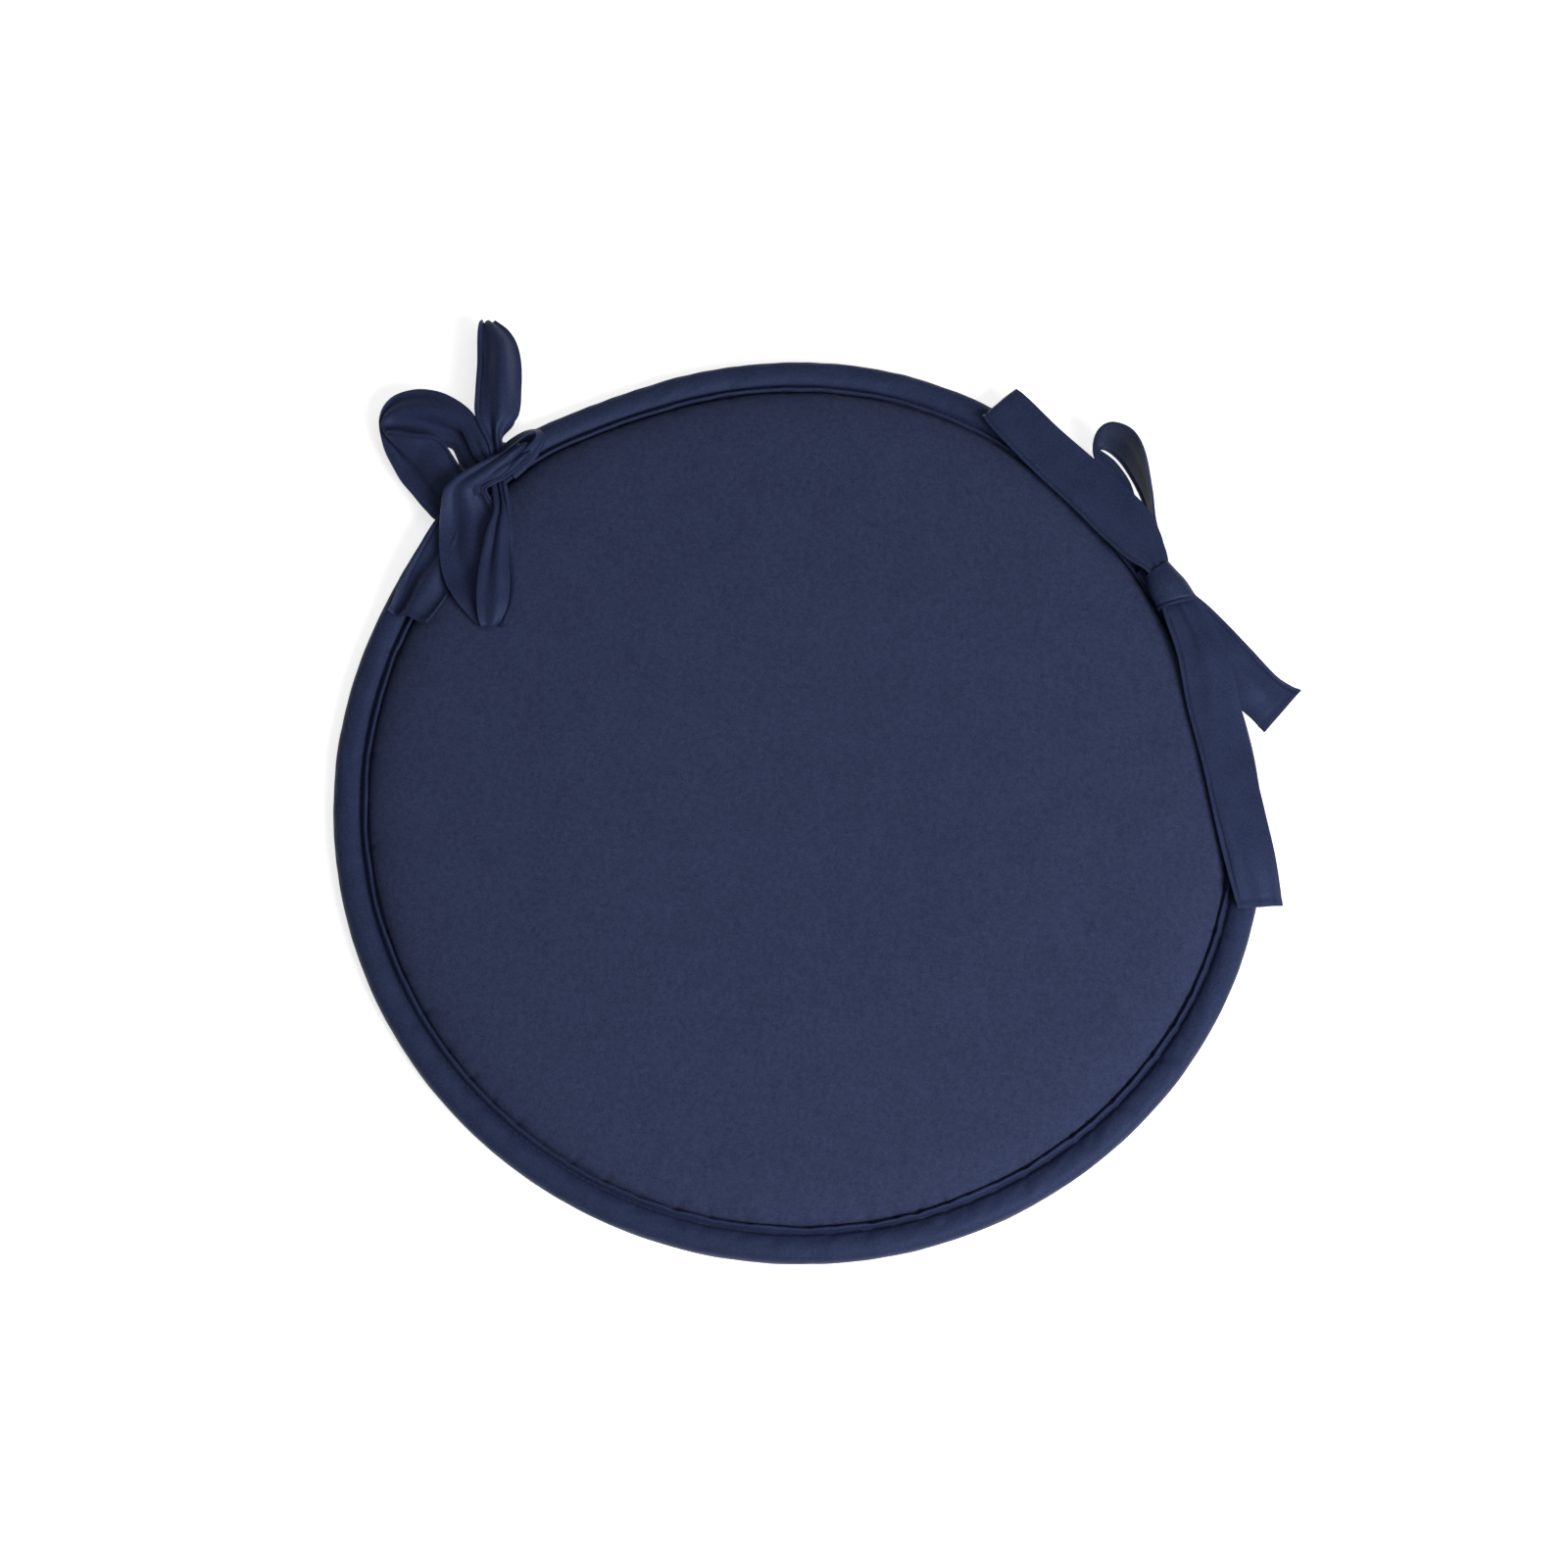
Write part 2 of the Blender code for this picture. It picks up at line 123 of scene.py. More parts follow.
class Graph:
    """The node tree of one material, with a Principled shader at its end."""

    def __init__(self, name: str) -> None:
        """Make the material.

        Args:
            name: its name.
        """
        self.material = bpy.data.materials.new(name)
        self.material.use_nodes = True
        self.tree = self.material.node_tree
        self.shader = self.tree.nodes["Principled BSDF"]

    def feed(self, socket: bpy.types.NodeSocket, value: object) -> None:
        """Link a Value, or set a constant, on an input socket.

        Args:
            socket: the input.
            value: what it gets.
        """
        if isinstance(value, Value):
            self.tree.links.new(value.socket, socket)
        else:
            socket.default_value = value

    def node(self, kind: str, settings: dict | None = None, inputs: dict | None = None,
             output: str | int = 0) -> Value:
        """Add a node.

        Args:
            kind: the node's type.
            settings: its properties, set before the sockets.
            inputs: values or links for its sockets, by name or number.
            output: the socket to return.

        Returns:
            The chosen output.
        """
        made = self.tree.nodes.new(kind)
        for key, value in (settings or {}).items():
            setattr(made, key, value)
        for key, value in (inputs or {}).items():
            self.feed(made.inputs[key], value)
        return Value(self, made.outputs[output])

    def place(self) -> Value:
        """The object's own coordinates."""
        return self.node("ShaderNodeTexCoord", output="Object")

    def noise(self, place: Value, scale: float, detail: float = 3.0, roughness: float = 0.5) -> Value:
        """Fractal noise from 0 to 1 at a scale per metre."""
        return self.node("ShaderNodeTexNoise", {"noise_dimensions": "3D"},
                         {"Vector": place, "Scale": scale, "Detail": detail, "Roughness": roughness})

    def part(self, vector: Value, axis: int) -> Value:
        """One component of a vector."""
        return self.node("ShaderNodeSeparateXYZ", None, {0: vector}, axis)

    def colour(self, share: Value, dark: Colour, light: Colour) -> None:
        """Give the shader a base colour between two others.

        Args:
            share: 0 for the dark colour, 1 for the light one.
            dark: the dark colour.
            light: the light colour.
        """
        mixed = self.node("ShaderNodeMix", {"data_type": "RGBA"},
                          {0: share, 6: (*dark, 1.0), 7: (*light, 1.0)}, 2)
        self.feed(self.shader.inputs["Base Color"], mixed)

    def roughness(self, value: Value) -> None:
        """Give the shader its roughness."""
        self.feed(self.shader.inputs["Roughness"], value)

    def bump(self, height: Value, distance: float, strength: float = 1.0) -> None:
        """Drive the shader's normal with a height in units of a distance in metres."""
        made = self.node("ShaderNodeBump", None,
                         {"Height": height, "Distance": distance, "Strength": strength})
        self.feed(self.shader.inputs["Normal"], made)

    def finish(self, **constants: object) -> bpy.types.Material:
        """Set constants on the shader's own sockets.

        Args:
            constants: each socket's value, by its name with underscores for spaces.

        Returns:
            The finished material.
        """
        for key, value in constants.items():
            self.feed(self.shader.inputs[key.replace("_", " ")], value)
        return self.material


@dataclass(frozen=True)
class BrushedCloth:
    """Matte cloth of the two covers: a plain weave under a short brushed nap.

    Its pattern lies on the object's own axes, since the covers are cut flat.
    """

    name: str
    deep: Colour = (0.0215, 0.0280, 0.0660)
    pale: Colour = (0.0470, 0.0610, 0.1320)
    thread_pitch: float = 0.00050
    nap_scale: float = 1300.0
    fleck_scale: float = 420.0
    cloud_scale: float = 55.0
    relief: float = 0.00009
    roughness: float = 0.88

    def material(self) -> bpy.types.Material:
        """Build the node tree.

        Returns:
            The material.
        """
        graph = Graph(self.name)
        place = graph.place()
        turns = math.tau / self.thread_pitch
        warp = (graph.part(place, 0) * turns).wave()
        weft = (graph.part(place, 1) * turns).wave()
        weave = warp * weft * 0.5 + 0.5
        nap = graph.noise(place, self.nap_scale, 4.0, 0.7)
        cloud = graph.noise(place, self.cloud_scale, 3.0, 0.55)
        fleck = graph.noise(place, self.fleck_scale, 2.0, 0.6)
        tone = nap * 2.0 + cloud * 0.3 + fleck * 0.9 + weave * 0.1 - 1.15
        graph.colour(tone, self.deep, self.pale)
        graph.roughness(nap * 0.12 + (self.roughness - 0.06))
        graph.bump(weave * 0.5 + nap * 0.8 + fleck * 0.6, self.relief, 0.7)
        return graph.finish(Specular_IOR_Level=0.15, Specular_Tint=(0.5, 0.6, 1.0, 1.0),
                            Sheen_Weight=0.05, Sheen_Roughness=0.55,
                            Sheen_Tint=(0.45, 0.52, 0.85, 1.0))


@dataclass(frozen=True)
class TapeCloth:
    """Smoother, slightly shiny cloth of the binding and the ties, with a fine diagonal twill.

    Its pattern follows the piece's own UV map, which is in metres: across, then along.
    """

    name: str
    deep: Colour = (0.0130, 0.0190, 0.0520)
    pale: Colour = (0.0320, 0.0440, 0.1050)
    rib_pitch: float = 0.00055
    slub_scale: float = 900.0
    cloud_scale: float = 70.0
    relief: float = 0.00007
    roughness: float = 0.50
    sheen: float = 0.06

    def material(self) -> bpy.types.Material:
        """Build the node tree.

        Returns:
            The material.
        """
        graph = Graph(self.name)
        place = graph.node("ShaderNodeUVMap", {"uv_map": "cloth"})
        across, along = graph.part(place, 0), graph.part(place, 1)
        turns = math.tau / self.rib_pitch
        twill = ((across + along) * turns).wave() * 0.5 + 0.5
        yarn = ((across - along) * (turns * 0.5)).wave() * 0.5 + 0.5
        slub = graph.noise(place, self.slub_scale, 3.0, 0.6)
        cloud = graph.noise(place, self.cloud_scale, 3.0, 0.55)
        graph.colour(slub * 1.5 + cloud * 0.7 + twill * 0.12 - 0.70, self.deep, self.pale)
        graph.roughness(cloud * 0.14 + (self.roughness - 0.07))
        graph.bump(twill * 0.5 + yarn * 0.2 + slub * 0.7, self.relief, 0.6)
        return graph.finish(Specular_IOR_Level=0.3, Specular_Tint=(0.45, 0.58, 1.0, 1.0),
                            Sheen_Weight=self.sheen, Sheen_Roughness=0.4,
                            Sheen_Tint=(0.50, 0.60, 0.95, 1.0))


@dataclass(frozen=True)
class SewingThread:
    """Twisted polyester thread."""

    name: str
    deep: Colour = (0.014, 0.019, 0.048)
    pale: Colour = (0.034, 0.042, 0.092)
    ply_pitch: float = 0.0006
    relief: float = 0.00004

    def material(self) -> bpy.types.Material:
        """Build the node tree.

        Returns:
            The material.
        """
        graph = Graph(self.name)
        place = graph.place()
        slant = graph.part(place, 0) + graph.part(place, 1) + graph.part(place, 2)
        ply = (slant * (math.tau / self.ply_pitch)).wave() * 0.5 + 0.5
        graph.colour(ply, self.deep, self.pale)
        graph.bump(ply, self.relief)
        return graph.finish(Roughness=0.45, Specular_IOR_Level=0.4)


@dataclass(frozen=True)
class OpenFoam:
    """Pale open-cell foam of the pad's core."""

    name: str
    deep: Colour = (0.42, 0.42, 0.38)
    pale: Colour = (0.66, 0.65, 0.60)
    cell_scale: float = 900.0
    cloud_scale: float = 40.0
    relief: float = 0.0003

    def material(self) -> bpy.types.Material:
        """Build the node tree.

        Returns:
            The material.
        """
        graph = Graph(self.name)
        place = graph.place()
        cells = graph.node("ShaderNodeTexVoronoi", None, {"Vector": place, "Scale": self.cell_scale})
        cloud = graph.noise(place, self.cloud_scale)
        graph.colour(cells * 0.7 + cloud * 0.4, self.deep, self.pale)
        graph.bump(cells, self.relief)
        return graph.finish(Roughness=0.95, Specular_IOR_Level=0.2)


@dataclass(frozen=True)
class StudioPaper:
    """Plain white floor, with a glow of its own that keeps shadows faint."""

    name: str = "studio_paper"
    deep: Colour = (0.93, 0.93, 0.93)
    pale: Colour = (0.95, 0.95, 0.95)
    glow: float = 0.7

    def material(self) -> bpy.types.Material:
        """Build the node tree.

        Returns:
            The material.
        """
        graph = Graph(self.name)
        graph.colour(graph.noise(graph.place(), 8.0), self.deep, self.pale)
        return graph.finish(Roughness=0.9, Specular_IOR_Level=0.1,
                            Emission_Color=(1.0, 1.0, 1.0, 1.0), Emission_Strength=self.glow)


class Finish(Enum):
    """The finishes of the object, each with the record's material slot that it shows."""

    FACE = "cover_cloth"
    UNDERSIDE = "underside_cloth"
    BINDING = "binding_cloth"
    TAPE = "tie_tape"
    THREAD = "thread"
    FOAM = "foam"


class Finishes:
    """Makes each material once and dresses pieces with it."""

    def __init__(self) -> None:
        """Make the materials."""
        self.made = {
            Finish.FACE: BrushedCloth("face_cloth").material(),
            Finish.UNDERSIDE: BrushedCloth("underside_cloth", deep=(0.0200, 0.0250, 0.0620),
                                           pale=(0.0450, 0.0550, 0.1260)).material(),
            Finish.BINDING: TapeCloth("binding_strip", roughness=0.58).material(),
            Finish.TAPE: TapeCloth("tie_tape").material(),
            Finish.THREAD: SewingThread("navy_thread").material(),
            Finish.FOAM: OpenFoam("core_foam").material(),
        }

    def dress(self, piece: bpy.types.Object, finish: Finish) -> bpy.types.Object:
        """Give a piece its material.

        Args:
            piece: the piece.
            finish: what it is made of.

        Returns:
            The same piece.
        """
        piece.data.materials.clear()
        piece.data.materials.append(self.made[finish])
        return piece

    def place_on_pad(self, piece: bpy.types.Object, finish: Finish, node: str) -> None:
        """Dress a piece that stays with the pad and stands for a node.

        Args:
            piece: the piece.
            finish: what it is made of.
            node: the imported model's node.
        """
        self.dress(piece, finish)
        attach(piece, "pad")
        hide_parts(node)


# ---- mesh helpers -------------------------------------------------------------------------
def as_piece(name: str, bm: bmesh.types.BMesh) -> bpy.types.Object:
    """Turn a bmesh into a smooth-shaded object and free the bmesh.

    Args:
        name: the piece's name.
        bm: its mesh, in place.

    Returns:
        The object, linked to the scene.
    """
    mesh = bpy.data.meshes.new(name)
    bm.to_mesh(mesh)
    bm.free()
    mesh.shade_smooth()
    piece = bpy.data.objects.new(name, mesh)
    bpy.context.scene.collection.objects.link(piece)
    return piece


def face_outwards(bm: bmesh.types.BMesh) -> None:
    """Point the faces of a closed mesh outwards.

    Args:
        bm: the mesh.
    """
    bmesh.ops.recalc_face_normals(bm, faces=bm.faces)
    if bm.calc_volume(signed=True) < 0:
        bmesh.ops.reverse_faces(bm, faces=bm.faces)


def curve_through(points: Sequence[Vector], counts: Sequence[int]) -> list[Vector]:
    """Read a smooth curve through points.

    Args:
        points: the points, of any dimension.
        counts: how many steps to take between each two.

    Returns:
        The points of the curve, the given ones among them.
    """
    line = []
    last = len(points) - 1
    for index in range(last):
        start, end = points[index], points[index + 1]
        before, after = points[max(index - 1, 0)], points[min(index + 2, last)]
        leave, arrive = (end - before) / 2, (after - start) / 2
        for step in range(counts[index]):
            t = step / counts[index]
            line.append(start * (2 * t ** 3 - 3 * t ** 2 + 1) + leave * (t ** 3 - 2 * t ** 2 + t)
                        + end * (3 * t ** 2 - 2 * t ** 3) + arrive * (t ** 3 - t ** 2))
    line.append(points[last].copy())
    return line


def add_stitches(bm: bmesh.types.BMesh, seats: Sequence[tuple[Vector, Vector]], length: float,
                 thickness: float) -> None:
    """Add one small thread capsule at each seat.

    Args:
        bm: the mesh to add to.
        seats: each stitch's middle and its direction.
        length: a stitch's length.
        thickness: the thread's thickness.
    """
    for middle, along in seats:
        made = bmesh.ops.create_icosphere(bm, subdivisions=1, radius=0.5)
        bmesh.ops.scale(bm, vec=(length, thickness, thickness), verts=made["verts"])
        turn = Vector((1.0, 0.0, 0.0)).rotation_difference(along)
        bmesh.ops.rotate(bm, cent=(0, 0, 0), matrix=turn.to_matrix(), verts=made["verts"])
        bmesh.ops.translate(bm, vec=middle, verts=made["verts"])


def degrees_between(angle: float, centre: float) -> float:
    """The shorter way round from a centre to an angle, in degrees."""
    return (angle - centre + 180.0) % 360.0 - 180.0


# ---- the pad ------------------------------------------------------------------------------
@dataclass
class RimShape:
    """How the ties pull the edge in and out, and where the cloth puckers along the seam.

    A pull is its angle, its size and its spread. A tight zone is its angle, its spread and its
    weight. A pucker is its angle, its depth share and its slant. Angles are in degrees.
    """

    pulls: tuple[Point, ...] = ((140.0, 0.006, 13.0), (40.0, -0.010, 30.0))
    pull_from: float = 0.120
    pull_full: float = 0.185
    seam_radius: float = 0.188
    tight_zones: tuple[Point, ...] = ((310.0, 45.0, 1.0), (235.0, 40.0, 0.6))
    closest: tuple[float, float] = (2.6, 4.2)
    slack_spacing: float = 4.0
    reach: float = 6.0
    seed: int = 7
    puckers: list[Point] = field(default_factory=list)
    near: list[list[Point]] = field(default_factory=list)

    def __post_init__(self) -> None:
        """Place the puckers, closest where the seam was sewn tightest."""
        draw = random.Random(self.seed)
        angle = 0.0
        while angle < 359.0:
            tight = min(1.0, sum(weight * math.exp(-((angle - centre) / spread) ** 2)
                                 for centre, spread, weight in self.tight_zones))
            angle += draw.uniform(*self.closest) + self.slack_spacing * (1.0 - tight)
            self.puckers.append((angle, draw.uniform(0.35, 1.0) * (0.45 + 0.55 * tight),
                                 draw.uniform(-0.5, 0.5)))
        for degree in range(360):
            self.near.append([pucker for pucker in self.puckers
                              if abs(degrees_between(degree, pucker[0])) < self.reach + 1.0])

    def pull(self, angle: float) -> float:
        """Find how far the ties shift the edge.

        Args:
            angle: place round the edge, in degrees.

        Returns:
            The shift, outwards.
        """
        return sum(amount * math.exp(-(degrees_between(angle, centre) / spread) ** 2)
                   for centre, amount, spread in self.pulls)

    def pucker(self, angle: float, away: float, width: float) -> float:
        """Depth share (0 to about 1) of the puckers.

        Args:
            angle: place round the seam, in degrees.
            away: distance from the seam, which lets the creases slant.
            width: half width of a crease.

        Returns:
            The share of a full pucker's depth.
        """
        total = 0.0
        for centre, depth, slant in self.near[int(angle % 360.0) % 360]:
            off = degrees_between(angle, centre)
            if abs(off) < self.reach:
                arc = math.radians(off) * self.seam_radius - slant * away
                total += depth * math.exp(-(arc / width) ** 2)
        return total

    def wobble(self, angle: float, phase: float) -> float:
        """A slow, uneven wave from -1 to 1 round the edge."""
        spot = Vector((math.cos(math.radians(angle)), math.sin(math.radians(angle)), phase))
        return noise.noise(spot * 9.0) * 1.2 + noise.noise(spot * 26.0) * 0.6

    def moved(self, spot: Vector) -> Vector:
        """Shift a point as the ties pull the edge.

        Args:
            spot: the point on a round pad.

        Returns:
            The point on the pulled one.
        """
        radius = math.hypot(spot.x, spot.y)
        if radius <= self.pull_from:
            return spot.copy()
        share = min(1.0, (radius - self.pull_from) / (self.pull_full - self.pull_from))
        share = share * share * (3.0 - 2.0 * share)
        scale = 1.0 + self.pull(math.degrees(math.atan2(spot.y, spot.x))) * share / radius
        return Vector((spot.x * scale, spot.y * scale, spot.z))


@dataclass
class SeatPad:
    """Foam, two covers, the binding round their edge, and its stitching."""

    finishes: Finishes
    rim: RimShape
    radius: float = -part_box("edge_binding")[0][1]
    height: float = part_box("top_cover")[1][2]
    steps: int = 900
    # covers
    cover_thickness: float = 0.0006
    seam_allowance: float = 0.0035
    crown_run: float = 0.062
    crown_power: float = 2.6
    under_run: float = 0.013
    reveal: float = 0.0007
    layer_gap: float = 0.0003
    tuck: float = 0.0003
    tuck_depth: float = 0.0014
    flat_steps: int = 11
    fall_steps: int = 24
    pucker_depth: float = 0.0030
    pucker_width: float = 0.0013
    pucker_fade: float = 0.0030
    under_pucker: float = 0.35
    slack: float = 0.0004
    slack_fade: float = 0.018
    # swell
    swell_cap: float = 0.0022
    swell_run: float = 0.012
    voxel: float = 0.005
    frames: int = 20
    pressure: float = 4.0
    pinned_width: float = 0.020
    lens_flat: float = 0.1
    lens_rim: float = 0.0045
    lens_seam: float = 0.0035
    lens_floor: float = 0.0005
    lens_steps: int = 12
    lens_inset: float = 0.001
    lens_split: float = 0.004
    # foam
    foam_nose: float = 0.004
    foam_held: float = 0.004
    # binding
    band_width: float = 0.012
    band_height: float = 0.0108
    band_turn: float = 128.0
    band_steps: int = 22
    band_square: float = 0.82
    binding_thickness: float = 0.0008
    seam_top: float = 0.0088
    seam_bottom: float = 0.0019
    lip_width: float = 0.0028
    lip_rise: float = 0.0023
    under_lip: float = 0.6
    groove_depth: float = 0.0013
    crease_width: float = 0.0015
    crease_depth: float = 0.0015
    under_crease: float = 0.0005
    crease_fade: float = 0.0036
    lip_crease: float = 0.0006
    puff: float = 0.00028
    drag: float = 0.00042
    sway: float = 0.00055
    # stitching
    stitch_pitch: float = 0.0031
    stitch_length: float = 0.0026
    thread: float = 0.00036

    @property
    def seam(self) -> float:
        """Radius of the stitch line."""
        return self.radius - self.band_width

    def crown(self, share: float) -> float:
        """Height share of the face at a share of its run towards the seam."""
        return math.sqrt(max(0.0, 1.0 - share ** self.crown_power))

    def cover_line(self, flat: float, run: float, seam: float, bow: float) -> list[Vector]:
        """Outside of a cover as (r, z), from the middle to its edge inside the binding.

        Args:
            flat: height of the face.
            run: length over which it falls to the seam.
            seam: its height at the stitch line.
            bow: +1 for the upper cover and -1 for the lower.

        Returns:
            The points of the outline.
        """
        edge = self.seam - self.lip_width - self.reveal
        start = edge - run
        lip = seam + bow * self.lip_rise / 2
        line = [Vector((start * step / self.flat_steps, flat)) for step in range(self.flat_steps)]
        for step in range(self.fall_steps + 1):
            # Steps crowd towards the seam, where the face turns down fastest.
            share = math.sin(step / self.fall_steps * math.pi / 2)
            line.append(Vector((start + run * share, lip + (flat - lip) * self.crown(share))))
        tuck = bow * self.tuck
        return line + [Vector((edge + self.reveal, seam + tuck)),
                       Vector((self.seam - self.lip_width * 0.4, seam - tuck)),
                       Vector((self.seam, seam - bow * self.tuck_depth)),
                       Vector((self.seam + self.seam_allowance, seam + tuck))]

    def turned(self, name: str, line: Sequence[Vector], shape: Callable[[Vector, int], Vector],
               steps: int, closed: bool = False) -> bpy.types.Object:
        """Turn an outline about Z and move every vertex.

        Args:
            name: the piece's name.
            line: the outline as (r, z).
            shape: gives a vertex's final place from its plain one and its outline number.
            steps: how many steps make the full turn.
            closed: whether the outline's end joins its start.

        Returns:
            The piece, with a UV map in metres: across the outline, then round the seam.
        """
        bm = bmesh.new()
        rank = bm.verts.layers.int.new("rank")
        verts = [bm.verts.new((point.x, 0.0, point.y)) for point in line]
        edges = [bm.edges.new(pair) for pair in zip(verts, verts[1:])]
        if closed:
            edges.append(bm.edges.new((verts[-1], verts[0])))
        for number, vert in enumerate(verts):
            vert[rank] = number
        bmesh.ops.spin(bm, geom=verts + edges, cent=(0, 0, 0), axis=(0, 0, 1),
                       angle=math.tau, steps=steps, use_merge=True)
        bmesh.ops.remove_doubles(bm, verts=bm.verts, dist=1e-7)
        across = [0.0]
        for one, other in zip(line, line[1:]):
            across.append(across[-1] + (other - one).length)
        uv = bm.loops.layers.uv.new("cloth")
        for face in bm.faces:
            centre = face.calc_center_median()
            middle = math.atan2(centre.y, centre.x)
            for loop in face.loops:
                spot = loop.vert.co
                turn = math.atan2(spot.y, spot.x)
                turn = middle + (turn - middle + math.pi) % math.tau - math.pi
                loop[uv].uv = (across[loop.vert[rank]], turn * self.seam)
        for vert in bm.verts:
            vert.co = self.rim.moved(shape(vert.co, vert[rank]))
        if closed:
            face_outwards(bm)
        return as_piece(name, bm)

    # -- foam swell --
    def swelling(self) -> RiseField:
        """Find how far the stuffing lifts the cloth.

        A lens of the pad's size is remeshed, filled by a cloth simulation with its seam pinned,
        and its capped rise is read back as a smooth field.

        Returns:
            A function of x, y and whether the point is on the upper face, in metres.
        """
        line = [Vector((0.0, self.height - self.lens_inset))]
        fall = self.height - self.lens_rim - self.lens_inset
        for step in range(self.lens_steps + 1):
            share = step / self.lens_steps
            line.append(Vector((self.lens_flat + (self.seam - self.lens_flat) * share,
                                self.lens_rim + fall * self.crown(share))))
        line += [Vector((self.seam, self.lens_seam)),
                 Vector((self.seam - self.band_width, self.lens_floor)), Vector((0.0, self.lens_floor))]
        lens = self.turned("swelling_lens", line, lambda spot, rank: spot, 96)
        remesh = lens.modifiers.new("remesh", "REMESH")
        remesh.mode = "VOXEL"
        remesh.voxel_size = self.voxel
        self.bake_modifiers(lens)
        before = np.array([vert.co for vert in lens.data.vertices])
        pinned = lens.vertex_groups.new(name="seam")
        pinned.add([number for number, spot in enumerate(before)
                    if math.hypot(spot[0], spot[1]) > self.seam - self.pinned_width], 1.0, "REPLACE")
        settings = lens.modifiers.new("cloth", "CLOTH").settings
        settings.vertex_group_mass = "seam"
        settings.use_pressure = True
        settings.uniform_pressure_force = self.pressure
        settings.effector_weights.gravity = 0.0
        settings.tension_stiffness = 25.0
        settings.bending_stiffness = 2.0
        scene = bpy.context.scene
        for number in range(1, self.frames + 1):
            scene.frame_set(number)
        self.bake_modifiers(lens)
        after = np.array([vert.co for vert in lens.data.vertices])
        scene.frame_set(1)
        bpy.data.objects.remove(lens)
        rises = np.clip(after[:, 2] - before[:, 2], -self.swell_cap, self.swell_cap)
        return self.smooth_field(before, rises)

    @staticmethod
    def bake_modifiers(piece: bpy.types.Object) -> None:
        """Replace a piece's mesh by what its modifiers make of it.

        Args:
            piece: the piece.
        """
        seen = piece.evaluated_get(bpy.context.evaluated_depsgraph_get())
        mesh = bpy.data.meshes.new_from_object(seen)
        piece.modifiers.clear()
        piece.data = mesh

    def smooth_field(self, spots: np.ndarray, rises: np.ndarray) -> RiseField:
        """Turn scattered rises into a smooth function of place.

        Args:
            spots: points of the lens at rest.
            rises: how far each went up.

        Returns:
            A function of x, y and whether the point is on the upper face.
        """
        trees = {}
        for upper in (True, False):
            keep = np.flatnonzero((spots[:, 2] > self.lens_split) == upper)
            tree = kdtree.KDTree(len(keep))
            for row in keep:
                tree.insert((spots[row][0], spots[row][1], 0.0), int(row))
            tree.balance()
            trees[upper] = tree
        reach = self.voxel * 2.2

        def rise(x: float, y: float, upper: bool) -> float:
            """Weighted mean of the rises near a place.

            Args:
                x: where.
                y: where.
                upper: whether it is on the upper face.

            Returns:
                The rise.
            """
            total = weight = 0.0
            for _, row, distance in trees[upper].find_range((x, y, 0.0), reach):
                share = math.exp(-(distance / (reach * 0.5)) ** 2)
                total += share * rises[row]
                weight += share
            return float(total / weight) if weight else 0.0
        return rise

    # -- pieces --
    def build(self) -> None:
        """Make, dress and place every piece of the pad."""
        rise = self.swelling()
        inset = self.binding_thickness + self.layer_gap * 1.5
        top = self.cover_line(self.height, self.crown_run, self.seam_top - inset, 1.0)
        under = self.cover_line(0.0, self.under_run, self.seam_bottom + inset, -1.0)
        self.build_cover("top_cover", top, 1.0, rise, Finish.FACE)
        self.build_cover("bottom_cover", under, -1.0, rise, Finish.UNDERSIDE)
        self.build_foam(top, under, rise)
        self.build_binding()
        self.build_stitching("top", self.seam_top, 1.0)
        self.build_stitching("bottom", self.seam_bottom, -1.0)

    def cover_place(self, spot: Vector, bow: float, rise: RiseField) -> Vector:
        """Where the swell and the puckers put a point of a cover.

        Args:
            spot: its plain place.
            bow: +1 for the upper cover and -1 for the lower.
            rise: the swell field.

        Returns:
            Its final place, before the ties pull the edge.
        """
        angle = math.degrees(math.atan2(spot.y, spot.x))
        away = self.seam - self.lip_width - math.hypot(spot.x, spot.y)
        inside = max(away, 0.0)
        lift = rise(spot.x, spot.y, bow > 0) * min(1.0, inside / self.swell_run)
        if bow < 0:
            lift = max(lift, -spot.z)
        if -0.001 < away < 0.030:
            crease = self.rim.pucker(angle, away, self.pucker_width + 0.10 * inside)
            depth = self.pucker_depth * (1.0 if bow > 0 else self.under_pucker)
            lift -= bow * crease * math.exp(-inside / self.pucker_fade) * depth
        if away > 0 and bow > 0:
            lift += self.rim.wobble(angle, 3.0) * self.slack * math.exp(-away / self.slack_fade)
        return Vector((spot.x, spot.y, spot.z + lift))

    def build_cover(self, node: str, line: list[Vector], bow: float, rise: RiseField,
                    finish: Finish) -> None:
        """Make one cover as a thin cloth shell.

        Args:
            node: the cover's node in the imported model.
            line: its outline.
            bow: +1 for the upper cover and -1 for the lower.
            rise: the swell field.
            finish: its cloth.
        """
        cover = self.turned(f"{node}_cloth", line, lambda spot, rank: self.cover_place(spot, bow, rise),
                            self.steps if bow > 0 else self.steps // 2)
        bm = bmesh.new()
        bm.from_mesh(cover.data)
        bmesh.ops.recalc_face_normals(bm, faces=bm.faces)
        middle = min(bm.faces, key=lambda face: math.hypot(*face.calc_center_median().xy))
        if middle.normal.z * bow < 0:
            bmesh.ops.reverse_faces(bm, faces=bm.faces)
        bm.to_mesh(cover.data)
        bm.free()
        wall = cover.modifiers.new("cloth_thickness", "SOLIDIFY")
        wall.thickness = self.cover_thickness
        wall.offset = -1.0
        self.finishes.place_on_pad(cover, finish, node)
        log.info("%s made", cover.name)

